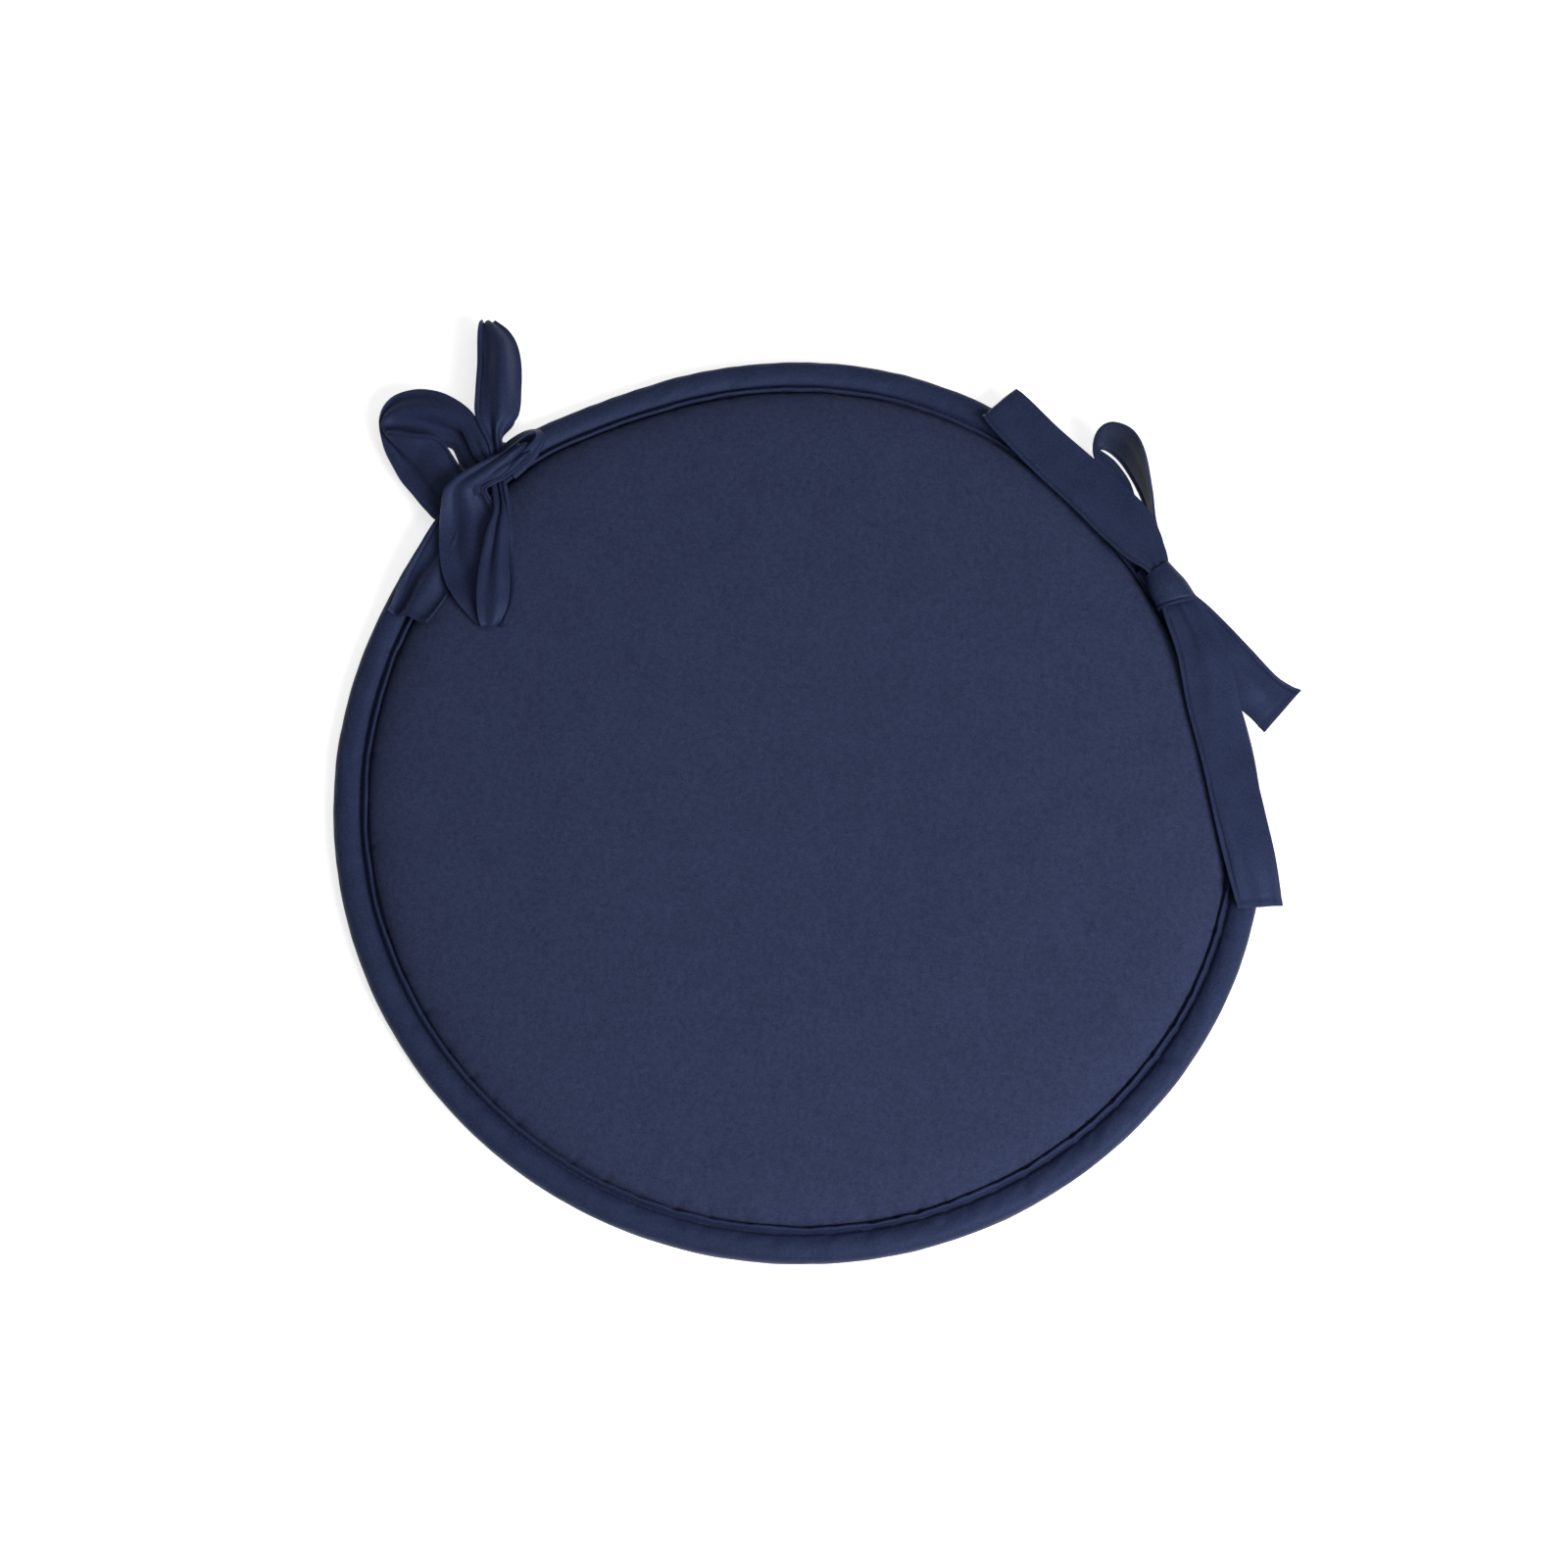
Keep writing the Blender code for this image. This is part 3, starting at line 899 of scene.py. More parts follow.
    def build_foam(self, top: list[Vector], under: list[Vector], rise: RiseField) -> None:
        """Make the foam core, which fills the covers and reaches into the band.

        Args:
            top: the upper cover's outline.
            under: the lower cover's outline.
            rise: the swell field.
        """
        inset = self.cover_thickness + self.layer_gap
        seam, high, low, middle = self.seam, self.seam_top, self.seam_bottom, self.band_height / 2
        edge = seam + self.seam_allowance + self.foam_nose
        line = [Vector((point.x, point.y - inset)) for point in top[::2] if point.x < seam - 0.012]
        # The neck under the seam, the rounded nose in the band, and the way back.
        line += [Vector(point) for point in (
            (seam - 0.008, high - 0.0020), (seam - 0.004, high - 0.0036), (seam, high - 0.0036),
            (edge - 0.0016, middle + 0.0018), (edge, middle), (edge - 0.0016, middle - 0.0018),
            (seam, low + 0.0028), (seam - 0.004, low + 0.0026))]
        line += [Vector((point.x, point.y + inset)) for point in under[::2]
                 if point.x < seam - 0.008][::-1]

        def shape(spot: Vector, rank: int) -> Vector:
            """Swell the foam with the cloth over it.

            Args:
                spot: a plain place.
                rank: its outline number.

            Returns:
                The final place.
            """
            held = (seam - self.foam_held - math.hypot(spot.x, spot.y)) / self.swell_run
            lift = rise(spot.x, spot.y, True) * min(1.0, max(0.0, held)) if spot.z > middle else 0.0
            return Vector((spot.x, spot.y, spot.z + lift))
        foam = self.turned("foam_core", line, shape, self.steps // 5)
        bm = bmesh.new()
        bm.from_mesh(foam.data)
        face_outwards(bm)
        bm.to_mesh(foam.data)
        bm.free()
        self.finishes.place_on_pad(foam, Finish.FOAM, "foam_pad")
        log.info("foam_core made")

    def fold(self, base: float, bow: float) -> list[Vector]:
        """The strip's loose folded edge above or below the stitch line, and its groove.

        Args:
            base: height of the stitch line.
            bow: +1 for the upper fold and -1 for the lower.

        Returns:
            The points as (r, z), from the fold outwards.
        """
        rise = bow * self.lip_rise * (1.0 if bow > 0 else self.under_lip)
        deep = bow * self.groove_depth
        lip = self.seam - self.lip_width
        points = [Vector((lip + out, base + rise * share)) for out, share in (
            (0.0001, 0.2), (0.0, 0.7), (0.0004, 0.97), (0.0010, 1.0), (0.0015, 0.8), (0.0019, 0.3))]
        return points + [Vector((self.seam + out, base - deep * share)) for out, share in (
            (-0.0004, 0.7), (0.0, 1.0), (0.0004, 0.6), (0.0008, -0.4))]

    def binding_line(self) -> list[Vector]:
        """Outside of the binding, a slightly squared tube with a fold at either end.

        Returns:
            The points as (r, z), from the upper lip round the edge to the lower.
        """
        half, middle = self.band_width / 2, self.band_height / 2

        def squared(value: float) -> float:
            """A sine or cosine pushed out towards a square."""
            return math.copysign(abs(value) ** self.band_square, value)
        arc = []
        for step in range(self.band_steps + 1):
            turn = math.radians(self.band_turn - 2 * self.band_turn * step / self.band_steps)
            arc.append(Vector((self.seam + half + squared(math.cos(turn)) * half,
                               middle + squared(math.sin(turn)) * middle)))
        return self.fold(self.seam_top, 1.0) + arc + self.fold(self.seam_bottom, -1.0)[::-1]

    def strip_place(self, spot: Vector, plain: Vector) -> Vector:
        """Puff, crease and waver a point of the binding.

        Args:
            spot: its plain place.
            plain: the same place on the outline, as (r, z).

        Returns:
            Its final place, before the ties pull the edge.
        """
        angle = math.degrees(math.atan2(spot.y, spot.x))
        upper = plain.y > self.band_height / 2
        away = abs(plain.x - self.seam)
        outside = plain.x > self.seam + 0.0004
        # Creases slant away from the seam on the band, and the other way on the fold.
        crease = self.rim.pucker(angle, away * (2.2 if outside else -1.0),
                                 self.crease_width + 0.12 * away)
        if outside:
            depth = self.crease_depth if upper else self.under_crease
            depth *= math.exp(-away / self.crease_fade) * crease
            puff = self.rim.wobble(angle, 1.0 if upper else 5.0) * self.puff
            slant = Vector((angle * 0.55 + away * 500.0, away * 150.0, 4.0 if upper else 9.0))
            up = (puff + noise.noise(slant) * self.drag) * min(1.0, away / 0.003) - depth
            radial = puff * 0.6 * min(1.0, away / 0.006)
        else:
            share = min(1.0, (self.seam - plain.x) / self.lip_width)
            radial = (self.rim.wobble(angle, 7.0) * self.sway + crease * self.sway) * share
            up = (self.rim.wobble(angle, 11.0) * self.puff - crease * self.lip_crease * share) * share
        scale = 1.0 + radial / max(plain.x, 0.01)
        return Vector((spot.x * scale, spot.y * scale, max(spot.z + (up if upper else -up), 0.0)))

    def build_binding(self) -> None:
        """Make the folded, puffed strip of cloth round the whole edge."""
        line = self.binding_line()
        last = len(line) - 1
        inner = []
        for index, point in enumerate(line):
            run = (line[min(index + 1, last)] - line[max(index - 1, 0)]).normalized()
            inner.append(point + Vector((run.y, -run.x)) * self.binding_thickness)
        ranks = list(range(last + 1))
        ranks += ranks[::-1]
        strip = self.turned("edge_binding_strip", line + inner[::-1],
                            lambda spot, rank: self.strip_place(spot, line[ranks[rank]]),
                            self.steps, closed=True)
        self.finishes.place_on_pad(strip, Finish.BINDING, "edge_binding")
        width = sum((other - one).length for one, other in zip(line, line[1:]))
        log.info("edge_binding_strip made, %.1f mm wide laid flat", width / MM)

    def build_stitching(self, face: str, height: float, bow: float) -> None:
        """Make one side's row of lockstitches, sunk in the groove.

        Args:
            face: "top" or "bottom".
            height: height of the stitch line.
            bow: +1 for the upper row and -1 for the lower.
        """
        bm = bmesh.new()
        count = round(math.tau * self.seam / self.stitch_pitch)
        seats = []
        for number in range(count):
            angle = math.tau * number / count
            spot = Vector((math.cos(angle), math.sin(angle), 0.0)) * self.seam
            spot.z = height + bow * (self.thread * 0.45 - self.groove_depth)
            along = Vector((-math.sin(angle), math.cos(angle), 0.0))
            seats.append((self.rim.moved(spot), along))
        add_stitches(bm, seats, self.stitch_length, self.thread)
        row = as_piece(f"binding_{face}_stitches", bm)
        self.finishes.place_on_pad(row, Finish.THREAD, f"binding_{face}_stitching")
        log.info("%s made, %d stitches", row.name, count)


# ---- the ties -----------------------------------------------------------------------------
class Side(Enum):
    """The two places where ties are sewn, by their angle round the pad in degrees."""

    LEFT = 140.0
    RIGHT = 40.0

    @property
    def outward(self) -> Vector:
        """Level direction out of the pad at the tie."""
        angle = math.radians(self.value)
        return Vector((math.cos(angle), math.sin(angle), 0.0))

    @property
    def along(self) -> Vector:
        """Level direction along the edge, towards the middle of the back."""
        run = Vector((-self.outward.y, self.outward.x, 0.0))
        return -run if self is Side.LEFT else run

    def place(self, along: float, outward: float, height: float) -> Vector:
        """Find the world place of a point given from the tie, in millimetres.

        Args:
            along: how far along the edge.
            outward: how far out from the edge.
            height: how far up from the floor.

        Returns:
            The place, in metres.
        """
        radius = -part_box("edge_binding")[0][1]
        return (self.outward * (radius + outward * MM) + self.along * (along * MM)
                + Vector((0.0, 0.0, height * MM)))


class Leaf(Enum):
    """What a stretch of tape moves with."""

    PAD = "pad"
    LOOPS = "loops"
    TAILS = "tails"


@dataclass
class TapeRun:
    """One stretch of tape: its cross sections, its sewn edge, and how it moves.

    A section is one edge of the tape, the other edge, and how far its middle is cupped, in
    millimetres as (along, out, up). The tape runs from its knot outwards and, in a loop, back.
    """

    side: Side
    part: str
    length: float
    sections: list[Section]
    leaf: Leaf = Leaf.PAD
    width: float = 0.024
    sewn_edge: int = 0
    pleats: tuple[float, float] = (0.0, 0.0)
    folds: float = 0.0
    hemmed: bool = False
    closed: bool = False

    @property
    def name(self) -> str:
        """The piece's name."""
        return f"{self.side.name.lower()}_{self.part}_tape"

    @property
    def node(self) -> str:
        """The node that it stands for."""
        return f"{self.side.name.lower()}_tie_{self.part}"

    @property
    def body(self) -> str:
        """The body that it moves with."""
        return "pad" if self.leaf is Leaf.PAD else f"{self.side.name.lower()}_tie_{self.leaf.value}"


@dataclass
class TapeMaker:
    """Makes lengths of folded, edge-stitched tape."""

    finishes: Finishes
    thickness: float = 0.0011
    lip: float = 0.0019
    lip_rise: float = 0.00042
    groove: float = 0.00045
    groove_width: float = 0.0004
    fullness: float = 0.00012
    gather_reach: float = 0.05
    gather_fade: float = 0.018
    ripple: float = 0.0006
    cup_power: float = 1.25
    hem: float = 0.0030
    hem_rise: float = 0.00022
    hem_groove: float = 0.00030
    bend_from: float = 0.001
    bend_to: float = 0.030
    row_step: float = 0.0012
    columns: tuple[float, ...] = (0.0, 0.02, 0.045, 0.07, 0.084, 0.10, 0.12, 0.16, 0.22, 0.29, 0.36, 0.43,
                                  0.50, 0.57, 0.64, 0.71, 0.78, 0.85, 0.91, 0.955, 0.985, 1.0)
    stitch_pitch: float = 0.0028
    stitch_length: float = 0.0022
    thread: float = 0.00030

    def relief(self, across: float, width: float) -> float:
        """Height of the tape's surface above its middle plane.

        Args:
            across: a share of the width, from the sewn edge.
            width: the tape's width there.

        Returns:
            The height: a raised lip by the sewn edge, then a groove, then a slight fullness.
        """
        from_edge = across * width
        if from_edge < self.lip * 0.85:
            return self.lip_rise * 0.9 * math.sin(math.pi * min(1.0, from_edge / self.lip + 0.25)) ** 0.5
        dip = (from_edge - self.lip) / self.groove_width
        return self.fullness * math.sin(math.pi * across) - self.groove * math.exp(-dip * dip)

    def gather(self, run: TapeRun, share: float, travelled: float, total: float) -> float:
        """Lengthwise folds that gather the tape into its knot at either end, and its ripples.

        Args:
            run: the stretch of tape.
            share: place across it.
            travelled: distance along it.
            total: its whole length.

        Returns:
            The height that they add.
        """
        height = 0.0
        for amount, gone in ((run.pleats[0], travelled), (run.pleats[1], total - travelled)):
            if amount and gone < self.gather_reach:
                fade = math.exp(-(gone / self.gather_fade) ** 1.5)
                height += amount * MM * fade * (math.sin(share * math.tau * 2.1 + 0.7)
                                                + 0.5 * math.sin(share * math.tau * 3.4 + 2.0))
        own = len(run.name)
        height += run.folds * MM * (math.sin(share * math.tau * 1.6 + travelled * 45.0)
                                    + 1.6 * noise.noise(Vector((share * 3.4, travelled * 38.0, own))))
        return height + noise.noise(Vector((share * 2.2, travelled * 55.0, own * 1.7))) * self.ripple

    def hem_relief(self, left: float) -> float:
        """Relief of the narrow hem at a tape's cut end.

        Args:
            left: distance from the end.

        Returns:
            The height that it adds.
        """
        if left > 2 * self.hem:
            return 0.0
        dip = (left - self.hem) / 0.0005
        return self.hem_rise * (left < self.hem - 0.0002) - self.hem_groove * math.exp(-dip * dip)

    @staticmethod
    def facings(run: TapeRun, ones: list[Vector], others: list[Vector],
                middles: list[Vector]) -> list[Vector]:
        """Work out which way each row of a run faces.

        Args:
            run: the stretch of tape.
            ones: the line of one edge.
            others: the line of the other edge.
            middles: the line between them.

        Returns:
            The rows' normals: up where the tape leaves its knot, or outwards on a closed wrap.
        """
        last = len(middles) - 1
        normals = []
        for index, (one, other) in enumerate(zip(ones, others)):
            if run.closed:
                ahead, behind = middles[(index + 1) % last], middles[(index - 1) % last]
            else:
                ahead, behind = middles[min(index + 1, last)], middles[max(index - 1, 0)]
            normals.append((ahead - behind).cross(other - one).normalized())
        if run.closed:
            centre = sum(middles, Vector()) / len(middles)
            facing = sum(normal.dot(middle - centre) for normal, middle in zip(normals, middles))
        else:
            facing = sum(normal.z for normal in normals[:len(normals) // 2])
        return [-normal for normal in normals] if facing < 0 else normals

    def surface(self, run: TapeRun) -> tuple[list[list[Vector]], list[Vector], list[float]]:
        """Work out the middle surface of a run.

        Args:
            run: the stretch of tape.

        Returns:
            Rows of points across the tape, each row's normal, and each row's distance along.
        """
        ones = [run.side.place(*section[0]) for section in run.sections]
        others = [run.side.place(*section[1]) for section in run.sections]
        cups = [Vector((section[2] * MM, 0.0, 0.0)) for section in run.sections]
        if run.closed:
            ones, others, cups = (items + items[:1] for items in (ones, others, cups))
        counts = [max(3, round(((a + b) / 2 - (c + d) / 2).length / self.row_step))
                  for a, b, c, d in zip(ones, others, ones[1:], others[1:])]
        ones, others, cups = (curve_through(items, counts) for items in (ones, others, cups))
        middles = [(a + b) / 2 for a, b in zip(ones, others)]
        travel = [0.0]
        for a, b in zip(middles, middles[1:]):
            travel.append(travel[-1] + (b - a).length)
        normals = self.facings(run, ones, others, middles)
        rows = []
        for one, other, cup, normal, travelled in zip(ones, others, cups, normals, travel):
            width = (other - one).length
            row = []
            for across in self.columns:
                share = across if run.sewn_edge == 0 else 1.0 - across
                height = self.relief(across, width)
                height += cup.x * (1.0 - abs(2.0 * share - 1.0) ** self.cup_power)
                height += self.gather(run, share, travelled, travel[-1])
                if run.hemmed:
                    height += self.hem_relief(travel[-1] - travelled)
                row.append(one.lerp(other, share) + normal * height)
            rows.append(row)
        return rows, normals, travel

    def make(self, run: TapeRun) -> None:
        """Build, dress and place one run and its row of edge stitches.

        Args:
            run: the stretch of tape.
        """
        rows, normals, travel = self.surface(run)
        bm = bmesh.new()
        across, along = len(self.columns) - 1, len(rows) - 1
        bmesh.ops.create_grid(bm, x_segments=across, y_segments=along, size=0.5)
        uv = bm.loops.layers.uv.new("cloth")
        shift = len(run.name) * 0.013
        slots = {vert: (round((vert.co.x + 0.5) * across), round((vert.co.y + 0.5) * along))
                 for vert in bm.verts}
        for face in bm.faces:
            for loop in face.loops:
                column, row = slots[loop.vert]
                loop[uv].uv = (self.columns[column] * run.width, travel[row] + shift)
        for vert, (column, row) in slots.items():
            vert.co = rows[row][column]
        if run.closed:
            bmesh.ops.remove_doubles(bm, verts=bm.verts, dist=1e-6)
        tape = as_piece(run.name, bm)
        wall = tape.modifiers.new("tape_thickness", "SOLIDIFY")
        wall.thickness = self.thickness
        wall.offset = 0.0
        edge = tape.modifiers.new("rounded_folds", "BEVEL")
        edge.width = self.thickness * 0.36
        edge.segments = 2
        edge.limit_method = "ANGLE"
        edge.angle_limit = math.radians(62)
        self.finishes.dress(tape, Finish.TAPE)
        stitches = self.stitch_row(run, rows, normals, travel)
        for piece in (tape, stitches):
            self.attach(piece, run)
        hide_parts(run.node)
        log.info("%s made, %.0f mm of tape", run.name, travel[-1] / MM)

    def stitch_row(self, run: TapeRun, rows: list[list[Vector]], normals: list[Vector],
                   travel: list[float]) -> bpy.types.Object:
        """Make the row of stitches in the groove beside the tape's sewn edge.

        Args:
            run: the stretch of tape.
            rows: its rows of points.
            normals: the rows' normals.
            travel: the rows' distances along.

        Returns:
            The stitches, seen from both faces.
        """
        groove = min(range(len(self.columns)),
                     key=lambda number: abs(self.columns[number] * run.width - self.lip))
        sink = self.thickness / 2 + self.thread * 0.1
        bm = bmesh.new()
        seats = []
        due = self.stitch_pitch / 2
        for index in range(1, len(rows) - 1):
            if travel[index] >= due:
                due = travel[index] + self.stitch_pitch * 0.75
                along = (rows[index + 1][groove] - rows[index - 1][groove]).normalized()
                seats += [(rows[index][groove] + normals[index] * bow * sink, along)
                          for bow in (1.0, -1.0)]
        add_stitches(bm, seats, self.stitch_length, self.thread)
        return self.finishes.dress(as_piece(f"{run.name}_stitches", bm), Finish.THREAD)

    def attach(self, piece: bpy.types.Object, run: TapeRun) -> None:
        """Attach a piece to the pad when its tape stays with the pad; otherwise look up its lift joint and
        only bake its place into its mesh.

        Args:
            piece: the tape or its stitches.
            run: the stretch of tape.
        """
        if run.leaf is Leaf.PAD:
            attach(piece, run.body)
            return
        joint = next(item for item in frame["joints"] if item["name"] == f"{run.body}_lift")
        run.body
        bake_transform(piece)


@dataclass
class Bow:
    """One tied bow."""

    maker: TapeMaker

    def runs(self) -> list[TapeRun]:
        """List every stretch of the bow's tape."""
        raise NotImplementedError

    def build(self) -> None:
        """Make every stretch."""
        for run in self.runs():
            self.maker.make(run)


@dataclass
class RightTie(Bow):
    """The right-hand bow: two flattened loops, two tails and a wrapped knot."""

    side: Side = Side.RIGHT

    def runs(self) -> list[TapeRun]:
        """List every stretch of the bow's tape.

        Returns:
            The stretches, the knot last.
        """
        return [
            TapeRun(self.side, "long_loop", 0.214, leaf=Leaf.LOOPS, pleats=(0.5, 0.3), sections=[
                ((1, -20.5, 18), (1, -12.8, 17.4), 0.6), ((7, -22, 18.6), (7, -11, 17.8), 0.8),
                ((16, -26, 18.5), (17.5, -6.8, 17.2), 0.6), ((30, -29.5, 18.2), (32, -5.4, 16.8), 0.3),
                ((52, -34, 17.8), (56, -10.6, 15.6), 0), ((76, -39.5, 17.4), (80, -17, 15.2), 0),
                ((97, -43, 17.1), (101.5, -21.5, 14.9), 0),
                ((103.2, -43.4, 16.4), (107.2, -23, 14.2), 0),
                ((103, -43, 14.9), (107, -22.8, 12.8), 0), ((97, -42, 14.7), (101, -21.7, 12.5), 0),
                ((84, -39, 14.9), (88, -19.2, 12.4), 0), ((60, -34.5, 15.4), (64, -13.5, 12.6), 0),
                ((36, -30, 15.8), (38, -10, 13.4), 0), ((20, -25, 16), (20, -11, 14.6), 0),
                ((7, -20, 16), (7, -12, 15.2), 0), ((1, -19.5, 16), (1, -13, 15.4), 0)]),
            TapeRun(self.side, "small_loop", 0.090, leaf=Leaf.LOOPS, width=0.020, pleats=(0.3, 0.0),
                    sections=[
                ((5.5, -10.8, 10.5), (5.5, -10.4, 14), 0), ((11, -8.6, 8.5), (11, -8, 13.6), 0),
                ((23, -6.5, 6), (23, -5, 14.6), -0.5), ((35, -2, 4.4), (36, 1, 18.4), -1),
                ((48, 0.3, 3), (50, 5, 26), -1.5), ((59, 0.6, 3), (61.5, 6, 26.5), -1.5),
                ((66.5, -2.4, 4.6), (69.3, 0.6, 26), -1), ((67.4, -6.6, 7), (70, -5.8, 23), -0.6),
                ((63, -5.2, 8), (65.5, -10.6, 17), -0.3), ((56, -3.2, 8), (58.5, -11.6, 12), 0),
                ((46, -3, 7.6), (47, -11.6, 11), 0), ((34, -7, 8.4), (34, -12.5, 11), 0)]),
            TapeRun(self.side, "upper_tail", 0.070, leaf=Leaf.TAILS, folds=0.4, pleats=(1.2, 0.0),
                    hemmed=True, sewn_edge=1, sections=[
                ((-11, -21, 15.4), (-11, -11, 16), 0.6), ((-17, -24, 15.2), (-17, -8, 16), 0.8),
                ((-27, -25, 14.4), (-28, -4.8, 15), 0.9), ((-42, -24.5, 14.2), (-43, -2, 14.2), 1.1),
                ((-60, -21.5, 14.4), (-60, 1.4, 12.4), 0.9), ((-72, -18, 13.8), (-67, 4.5, 11), -0.3),
                ((-80, -16.4, 12.6), (-72, 8, 9.8), -0.6)]),
            TapeRun(self.side, "lower_tail", 0.140, leaf=Leaf.TAILS, folds=0.45, pleats=(1.1, 0.0),
                    hemmed=True, sections=[
                ((-11, -24.5, 17.2), (-11, -12, 18), 0), ((-17, -26.6, 17.8), (-17, -9, 18.6), 0),
                ((-33, -31, 17.6), (-36, -10.6, 18.4), 0.3),
                ((-54, -39.8, 17.6), (-57, -16.2, 16.4), 0.7),
                ((-76, -47.4, 17.9), (-83, -26, 12.8), 1), ((-100, -56.3, 17.6), (-107, -35, 12.3), 1),
                ((-121, -63.5, 16), (-127, -42.2, 10.6), 1),
                ((-139, -69.6, 14), (-147, -50.6, 6.2), 0.6)]),
            self.knot(),
        ]

    def knot(self) -> TapeRun:
        """Wrap the bundle, narrow at the loops and wide at the tails.

        Returns:
            The wrap.
        """
        sections = []
        for step in range(12):
            turn = math.tau * step / 12
            wide, high = math.cos(turn), math.sin(turn)
            sections.append(((4.6 + 0.4 * wide, -17 + 5.6 * wide, 17.2 + 3.4 * high),
                             (-13.9 - 2.5 * wide, -18 + 8.2 * wide, 17.2 + 4.0 * high), 0.7))
        return TapeRun(self.side, "knot", 0.046, sections, closed=True, sewn_edge=1, width=0.020)


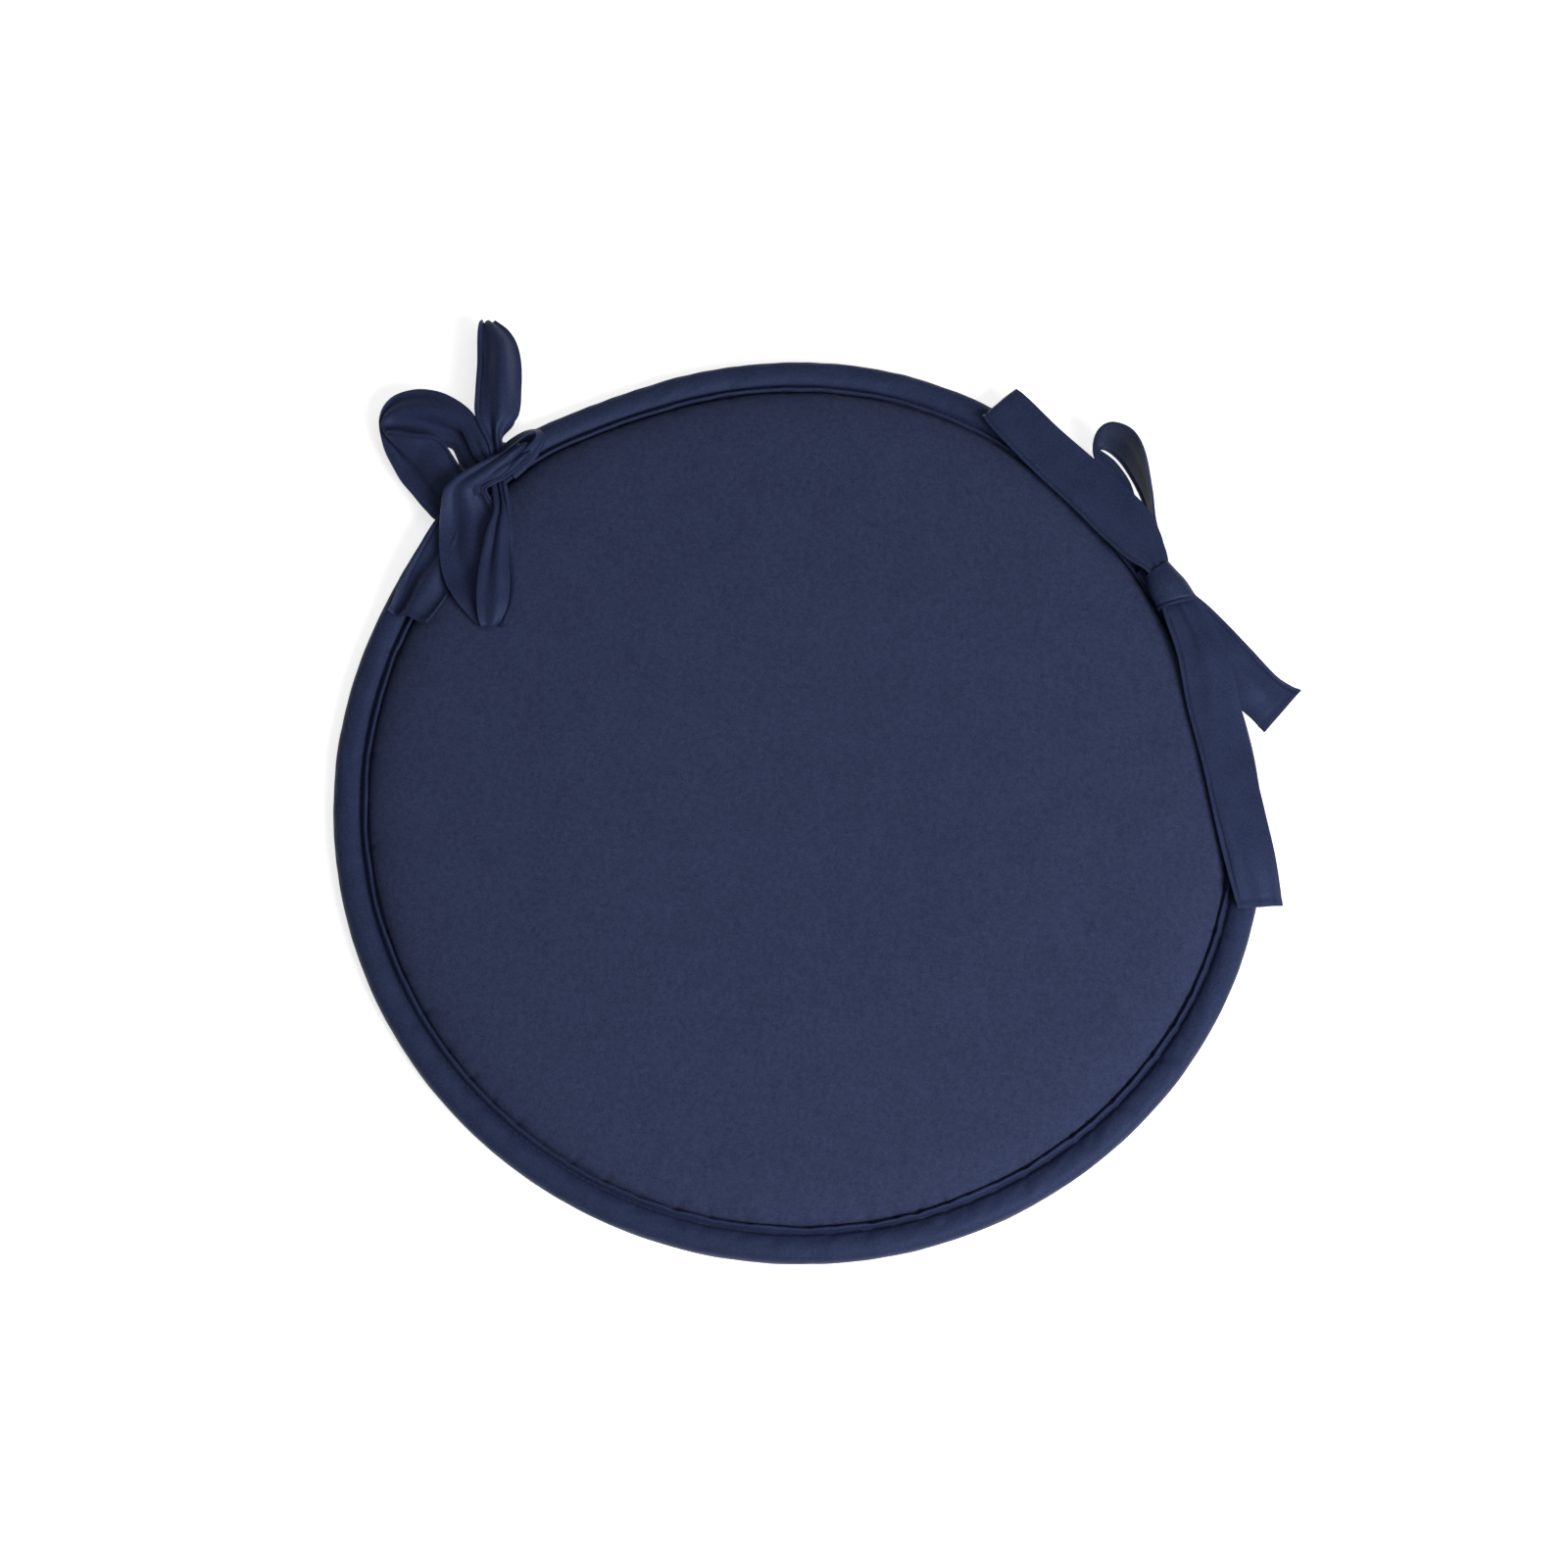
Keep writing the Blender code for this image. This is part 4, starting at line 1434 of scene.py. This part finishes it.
@dataclass
class LeftTie(Bow):
    """The left-hand bow: four loops, one tail and a creased knot."""

    side: Side = Side.LEFT

    def runs(self) -> list[TapeRun]:
        """List every stretch of the bow's tape.

        Returns:
            The stretches, the knot last.
        """
        return [
            TapeRun(self.side, "top_loop", 0.130, leaf=Leaf.LOOPS, folds=0.9, width=0.022,
                    pleats=(1.3, 0.5), sections=[
                ((-2, 1, 17.6), (4, 0, 17.2), 0.4), ((1.5, 8, 18.6), (9, 7.5, 18.2), 1.4),
                ((5.5, 20.5, 18.6), (19.5, 9.2, 18.8), 4.2), ((13.5, 30, 19), (29, 18, 19), 4.8),
                ((22, 39, 18.4), (37, 27.5, 18.2), 4.6), ((29, 47.6, 17.2), (41.6, 36, 16.4), 3.4),
                ((33.6, 53, 16.6), (42.8, 43, 15.6), 1.4),
                ((36.6, 55.2, 14.8), (41.6, 49.4, 14.2), 0.5), ((37, 55, 12.8), (41, 50.6, 12.4), 0.2),
                ((33, 51, 12), (41.4, 43.4, 11.4), 0.3), ((21.5, 39, 13), (35, 27.5, 12.6), 0.5),
                ((12, 28.5, 13.6), (26, 17.5, 13.2), 0.5), ((5, 18.5, 14), (17, 9.5, 13.8), 0.3),
                ((0.5, 8, 14.8), (8, 7, 14.6), 0), ((-3, 1, 15.4), (3, 0, 15.2), 0)]),
            TapeRun(self.side, "side_loop", 0.115, leaf=Leaf.LOOPS, folds=1.2, pleats=(1.2, 1.2), sections=[
                ((-8, 1, 13), (-2, 1, 18.5), 0.3), ((-12, 7.5, 11), (0.6, 7.5, 20), 0.6),
                ((-10.4, 14, 9.5), (3.2, 15, 20.5), 1.2), ((-9.4, 20, 9), (4.8, 23.5, 20.5), 1.6),
                ((-14.5, 26.5, 9), (3.8, 32, 19.8), 2.2), ((-19, 31.5, 10), (0.5, 41.5, 18.4), 2.2),
                ((-24, 37, 11.5), (-6, 50, 16), 1.6), ((-27, 40, 13), (-15.5, 54.6, 13), 0.8),
                ((-28, 42, 15), (-24.5, 51, 11.5), 0.2), ((-25.6, 39.6, 18.4), (-31, 39.5, 10.8), -0.6),
                ((-20.5, 32.5, 19.6), (-34, 31, 10.2), -1.2),
                ((-13.4, 25.4, 18.8), (-36.2, 22.5, 10), -0.8),
                ((-12.8, 18, 17.4), (-36.8, 12.5, 10), 0.6), ((-14, 9.5, 16.5), (-37, 4, 10.4), 0.8),
                ((-14, 3, 16), (-36, -3, 11), 0.5), ((-12, -3, 15.5), (-27, -8, 13), 0)]),
            TapeRun(self.side, "lower_loop", 0.165, leaf=Leaf.TAILS, folds=0.9, pleats=(0.9, 0.8),
                    sewn_edge=1, sections=[
                ((-10, -9, 20), (-3, -8.5, 20.4), 0.4), ((-17, -19, 21.4), (-9, -19, 21.4), 0.8),
                ((-26.5, -25, 22.6), (-14.8, -28, 22.2), 1.4),
                ((-38, -34, 23), (-24.2, -40, 22.6), 1.8), ((-47, -42.5, 23), (-32, -50, 22.6), 1.8),
                ((-53, -50, 23), (-38.4, -56.4, 22.4), 1.2),
                ((-55.4, -54.6, 22.2), (-45.6, -60, 21.2), 0.6),
                ((-55.6, -54, 20.6), (-47.4, -58.8, 20), 0.2),
                ((-56, -47.5, 20), (-42, -54.6, 19.6), 0.3),
                ((-55.5, -37, 20), (-37, -45.5, 20.2), 0.6),
                ((-52.6, -26.5, 18.2), (-31, -36, 20.4), 1),
                ((-45, -14.5, 17.2), (-24, -27, 20.4), 1.4),
                ((-36, -4.5, 18.4), (-16.5, -19, 20.8), 1.6), ((-27.5, 2.2, 23), (-14, -10, 23.2), 1.4),
                ((-20, 2.8, 24.8), (-11.5, -9.6, 24.4), 1.2),
                ((-10, 1.4, 25.2), (-4.5, -11.2, 24.6), 1), ((1, -0.6, 24.8), (3.4, -11, 23.8), 0.8),
                ((9.5, -1.2, 22.8), (9, -9.8, 21.6), 0.4), ((13, -1.6, 19.5), (12.5, -8.6, 18.5), 0)]),
            TapeRun(self.side, "tail", 0.070, leaf=Leaf.TAILS, folds=1.0, pleats=(1.5, 0.0), hemmed=True,
                    sections=[
                ((-19, -1, 14.4), (-12, -12, 16), 0.3), ((-27, -1.6, 13.8), (-17.5, -15.5, 15.8), 0.6),
                ((-38, -3.2, 12.9), (-28, -20.5, 15.8), 1),
                ((-50, -7.2, 12.7), (-41.5, -27.5, 16.2), 1.2), ((-64, -13, 12.7), (-56, -33, 17), 1),
                ((-74, -18, 12.6), (-66, -36.4, 17.8), 0.3),
                ((-79.5, -20.5, 12.6), (-71.5, -38, 19.4), -0.8)]),
            TapeRun(self.side, "small_loop", 0.060, pleats=(0.2, 0.2), width=0.010, sections=[
                ((-2, 2, 16.5), (-3, -2, 21), 0.3), ((5, 2.8, 16), (3, -1.6, 22), 0.3),
                ((12, 2.9, 15.8), (9.5, -1.2, 22.4), 0.5), ((18.4, 1.5, 15.5), (15.6, -1.2, 22.4), 0.6),
                ((22.6, -2, 15.3), (19.2, -2.9, 22.3), 0.6), ((21, -6, 15.3), (17.4, -4.8, 22.3), 0.6),
                ((14.6, -9.2, 15.6), (12.6, -5.6, 22.2), 0.5), ((7.5, -10.5, 16), (7, -6.2, 22), 0.4),
                ((0, -11, 16.5), (0, -6.5, 21.4), 0.3)]),
            self.knot(),
        ]

    def knot(self) -> TapeRun:
        """Wrap the bundle, narrow by the small loop and spread at the far end.

        Returns:
            The wrap.
        """
        turn_by = math.radians(-8.0)
        long_way = (math.cos(turn_by), math.sin(turn_by))
        wide_way = (-long_way[1], long_way[0])
        sections = []
        for step in range(14):
            turn = math.tau * step / 14
            far, high = 13.0 * math.cos(turn), 19.2 + 4.0 * math.sin(turn)
            half = 4.2 - 0.5 * math.cos(turn)
            bow = 1.6 * (far / 14.5) ** 2
            middle = (-7.0 + long_way[0] * far, -5.6 + long_way[1] * far + bow)
            sections.append(((middle[0] + wide_way[0] * half, middle[1] + wide_way[1] * half, high),
                             (middle[0] - wide_way[0] * half, middle[1] - wide_way[1] * half, high), 0.9))
        return TapeRun(self.side, "knot", 0.062, sections, closed=True, width=0.012, folds=0.3)


@dataclass
class TieRoot:
    """The folded end of one pair of ties, sewn round the edge, with its bar tack.

    The strap's route is (out, up) in millimetres, from the pad's face down over the edge.
    """

    finishes: Finishes
    maker: TapeMaker
    side: Side
    pull: float
    half_width: float = 9.0
    route: tuple[tuple[float, float], ...] = ((-14, 11.9), (-9, 12.2), (-5, 12.1), (-1.6, 11), (0.6, 8.6),
                                              (1.1, 5.6))
    tack_stitches: int = 14
    tack_width: float = 0.012
    tack_out: float = 1.9
    tack_height: float = 6.4
    stitch_length: float = 0.0030
    thread: float = 0.00055

    def build(self) -> None:
        """Make the strap and the tack."""
        pull = self.pull / MM
        sections = [((-self.half_width, out + pull, up), (self.half_width, out + pull, up), 0.0)
                    for out, up in self.route]
        self.maker.make(TapeRun(self.side, "root", 0.020, sections, width=0.018))
        bm = bmesh.new()
        seats = []
        slope = (self.side.along * 0.25 + Vector((0.0, 0.0, 1.0))).normalized()
        for number in range(self.tack_stitches):
            share = number / (self.tack_stitches - 1) - 0.5
            spot = self.side.place(share * self.tack_width / MM, pull + self.tack_out, self.tack_height)
            seats.append((spot, slope))
        add_stitches(bm, seats, self.stitch_length, self.thread)
        name = self.side.name.lower()
        tack = as_piece(f"{name}_bar_tack", bm)
        self.finishes.place_on_pad(tack, Finish.THREAD, f"{name}_tie_bar_tack")
        log.info("%s made", tack.name)


# ---- the studio ---------------------------------------------------------------------------
@dataclass(frozen=True)
class SoftLight:
    """One square soft light that faces the pad."""

    name: str
    place: Point
    size: float
    power: float

    def hang(self) -> None:
        """Add the light to the scene."""
        data = bpy.data.lights.new(self.name, "AREA")
        data.shape = "SQUARE"
        data.size = self.size
        data.energy = self.power
        lamp = bpy.data.objects.new(self.name, data)
        lamp.location = self.place
        lamp.rotation_euler = (-Vector(self.place)).to_track_quat("-Z", "Y").to_euler()
        bpy.context.scene.collection.objects.link(lamp)


@dataclass
class Studio:
    """White floor, soft light and the camera."""

    lights: tuple[SoftLight, ...] = (SoftLight("key_light", (1.15, -0.8, 1.35), 0.9, 33.0),
                                     SoftLight("top_light", (0.3, 0.2, 2.0), 1.2, 5.0))
    air: float = 0.14
    azimuth: float = 8.6
    elevation: float = 74.12
    distance: float = 1.6
    lens: float = 85.99
    sensor: float = 36.0
    aim: Point = (-0.00802, 0.00409, 0.00949)
    floor_size: float = 8.0
    floor_drop: float = 0.0004

    def build(self) -> None:
        """Make the floor, the lights and the camera."""
        bm = bmesh.new()
        bmesh.ops.create_grid(bm, x_segments=1, y_segments=1, size=self.floor_size / 2)
        bmesh.ops.translate(bm, vec=(0.0, 0.0, -self.floor_drop), verts=bm.verts)
        floor = as_piece("studio_floor", bm)
        floor.data.materials.append(StudioPaper().material())
        floor.visible_diffuse = False
        for light in self.lights:
            light.hang()
        world = bpy.data.worlds.new("studio_air")
        world.use_nodes = True
        sky = world.node_tree.nodes["Background"].inputs
        sky["Color"].default_value = (1.0, 1.0, 1.0, 1.0)
        sky["Strength"].default_value = self.air
        scene = bpy.context.scene
        scene.world = world
        scene.view_settings.view_transform = "Standard"
        scene.camera = self.camera()

    def camera(self) -> bpy.types.Object:
        """Place the camera.

        Returns:
            The camera.
        """
        turn, tilt = math.radians(self.azimuth), math.radians(self.elevation)
        back = Vector((math.sin(turn) * math.cos(tilt), -math.cos(turn) * math.cos(tilt), math.sin(tilt)))
        data = bpy.data.cameras.new("camera")
        data.lens = self.lens
        data.sensor_width = self.sensor
        eye = bpy.data.objects.new("camera", data)
        eye.location = Vector(self.aim) + back * self.distance
        eye.rotation_euler = (-back).to_track_quat("-Z", "Y").to_euler()
        bpy.context.scene.collection.objects.link(eye)
        return eye


def main() -> None:
    """Build the object and its studio."""
    logging.basicConfig(level=logging.INFO, format="%(message)s")
    Studio().build()
    finishes = Finishes()
    rim = RimShape()
    SeatPad(finishes, rim).build()
    maker = TapeMaker(finishes)
    for side in Side:
        TieRoot(finishes, maker, side, rim.pull(side.value)).build()
    RightTie(maker).build()
    LeftTie(maker).build()


if __name__ == "__main__":
    main()
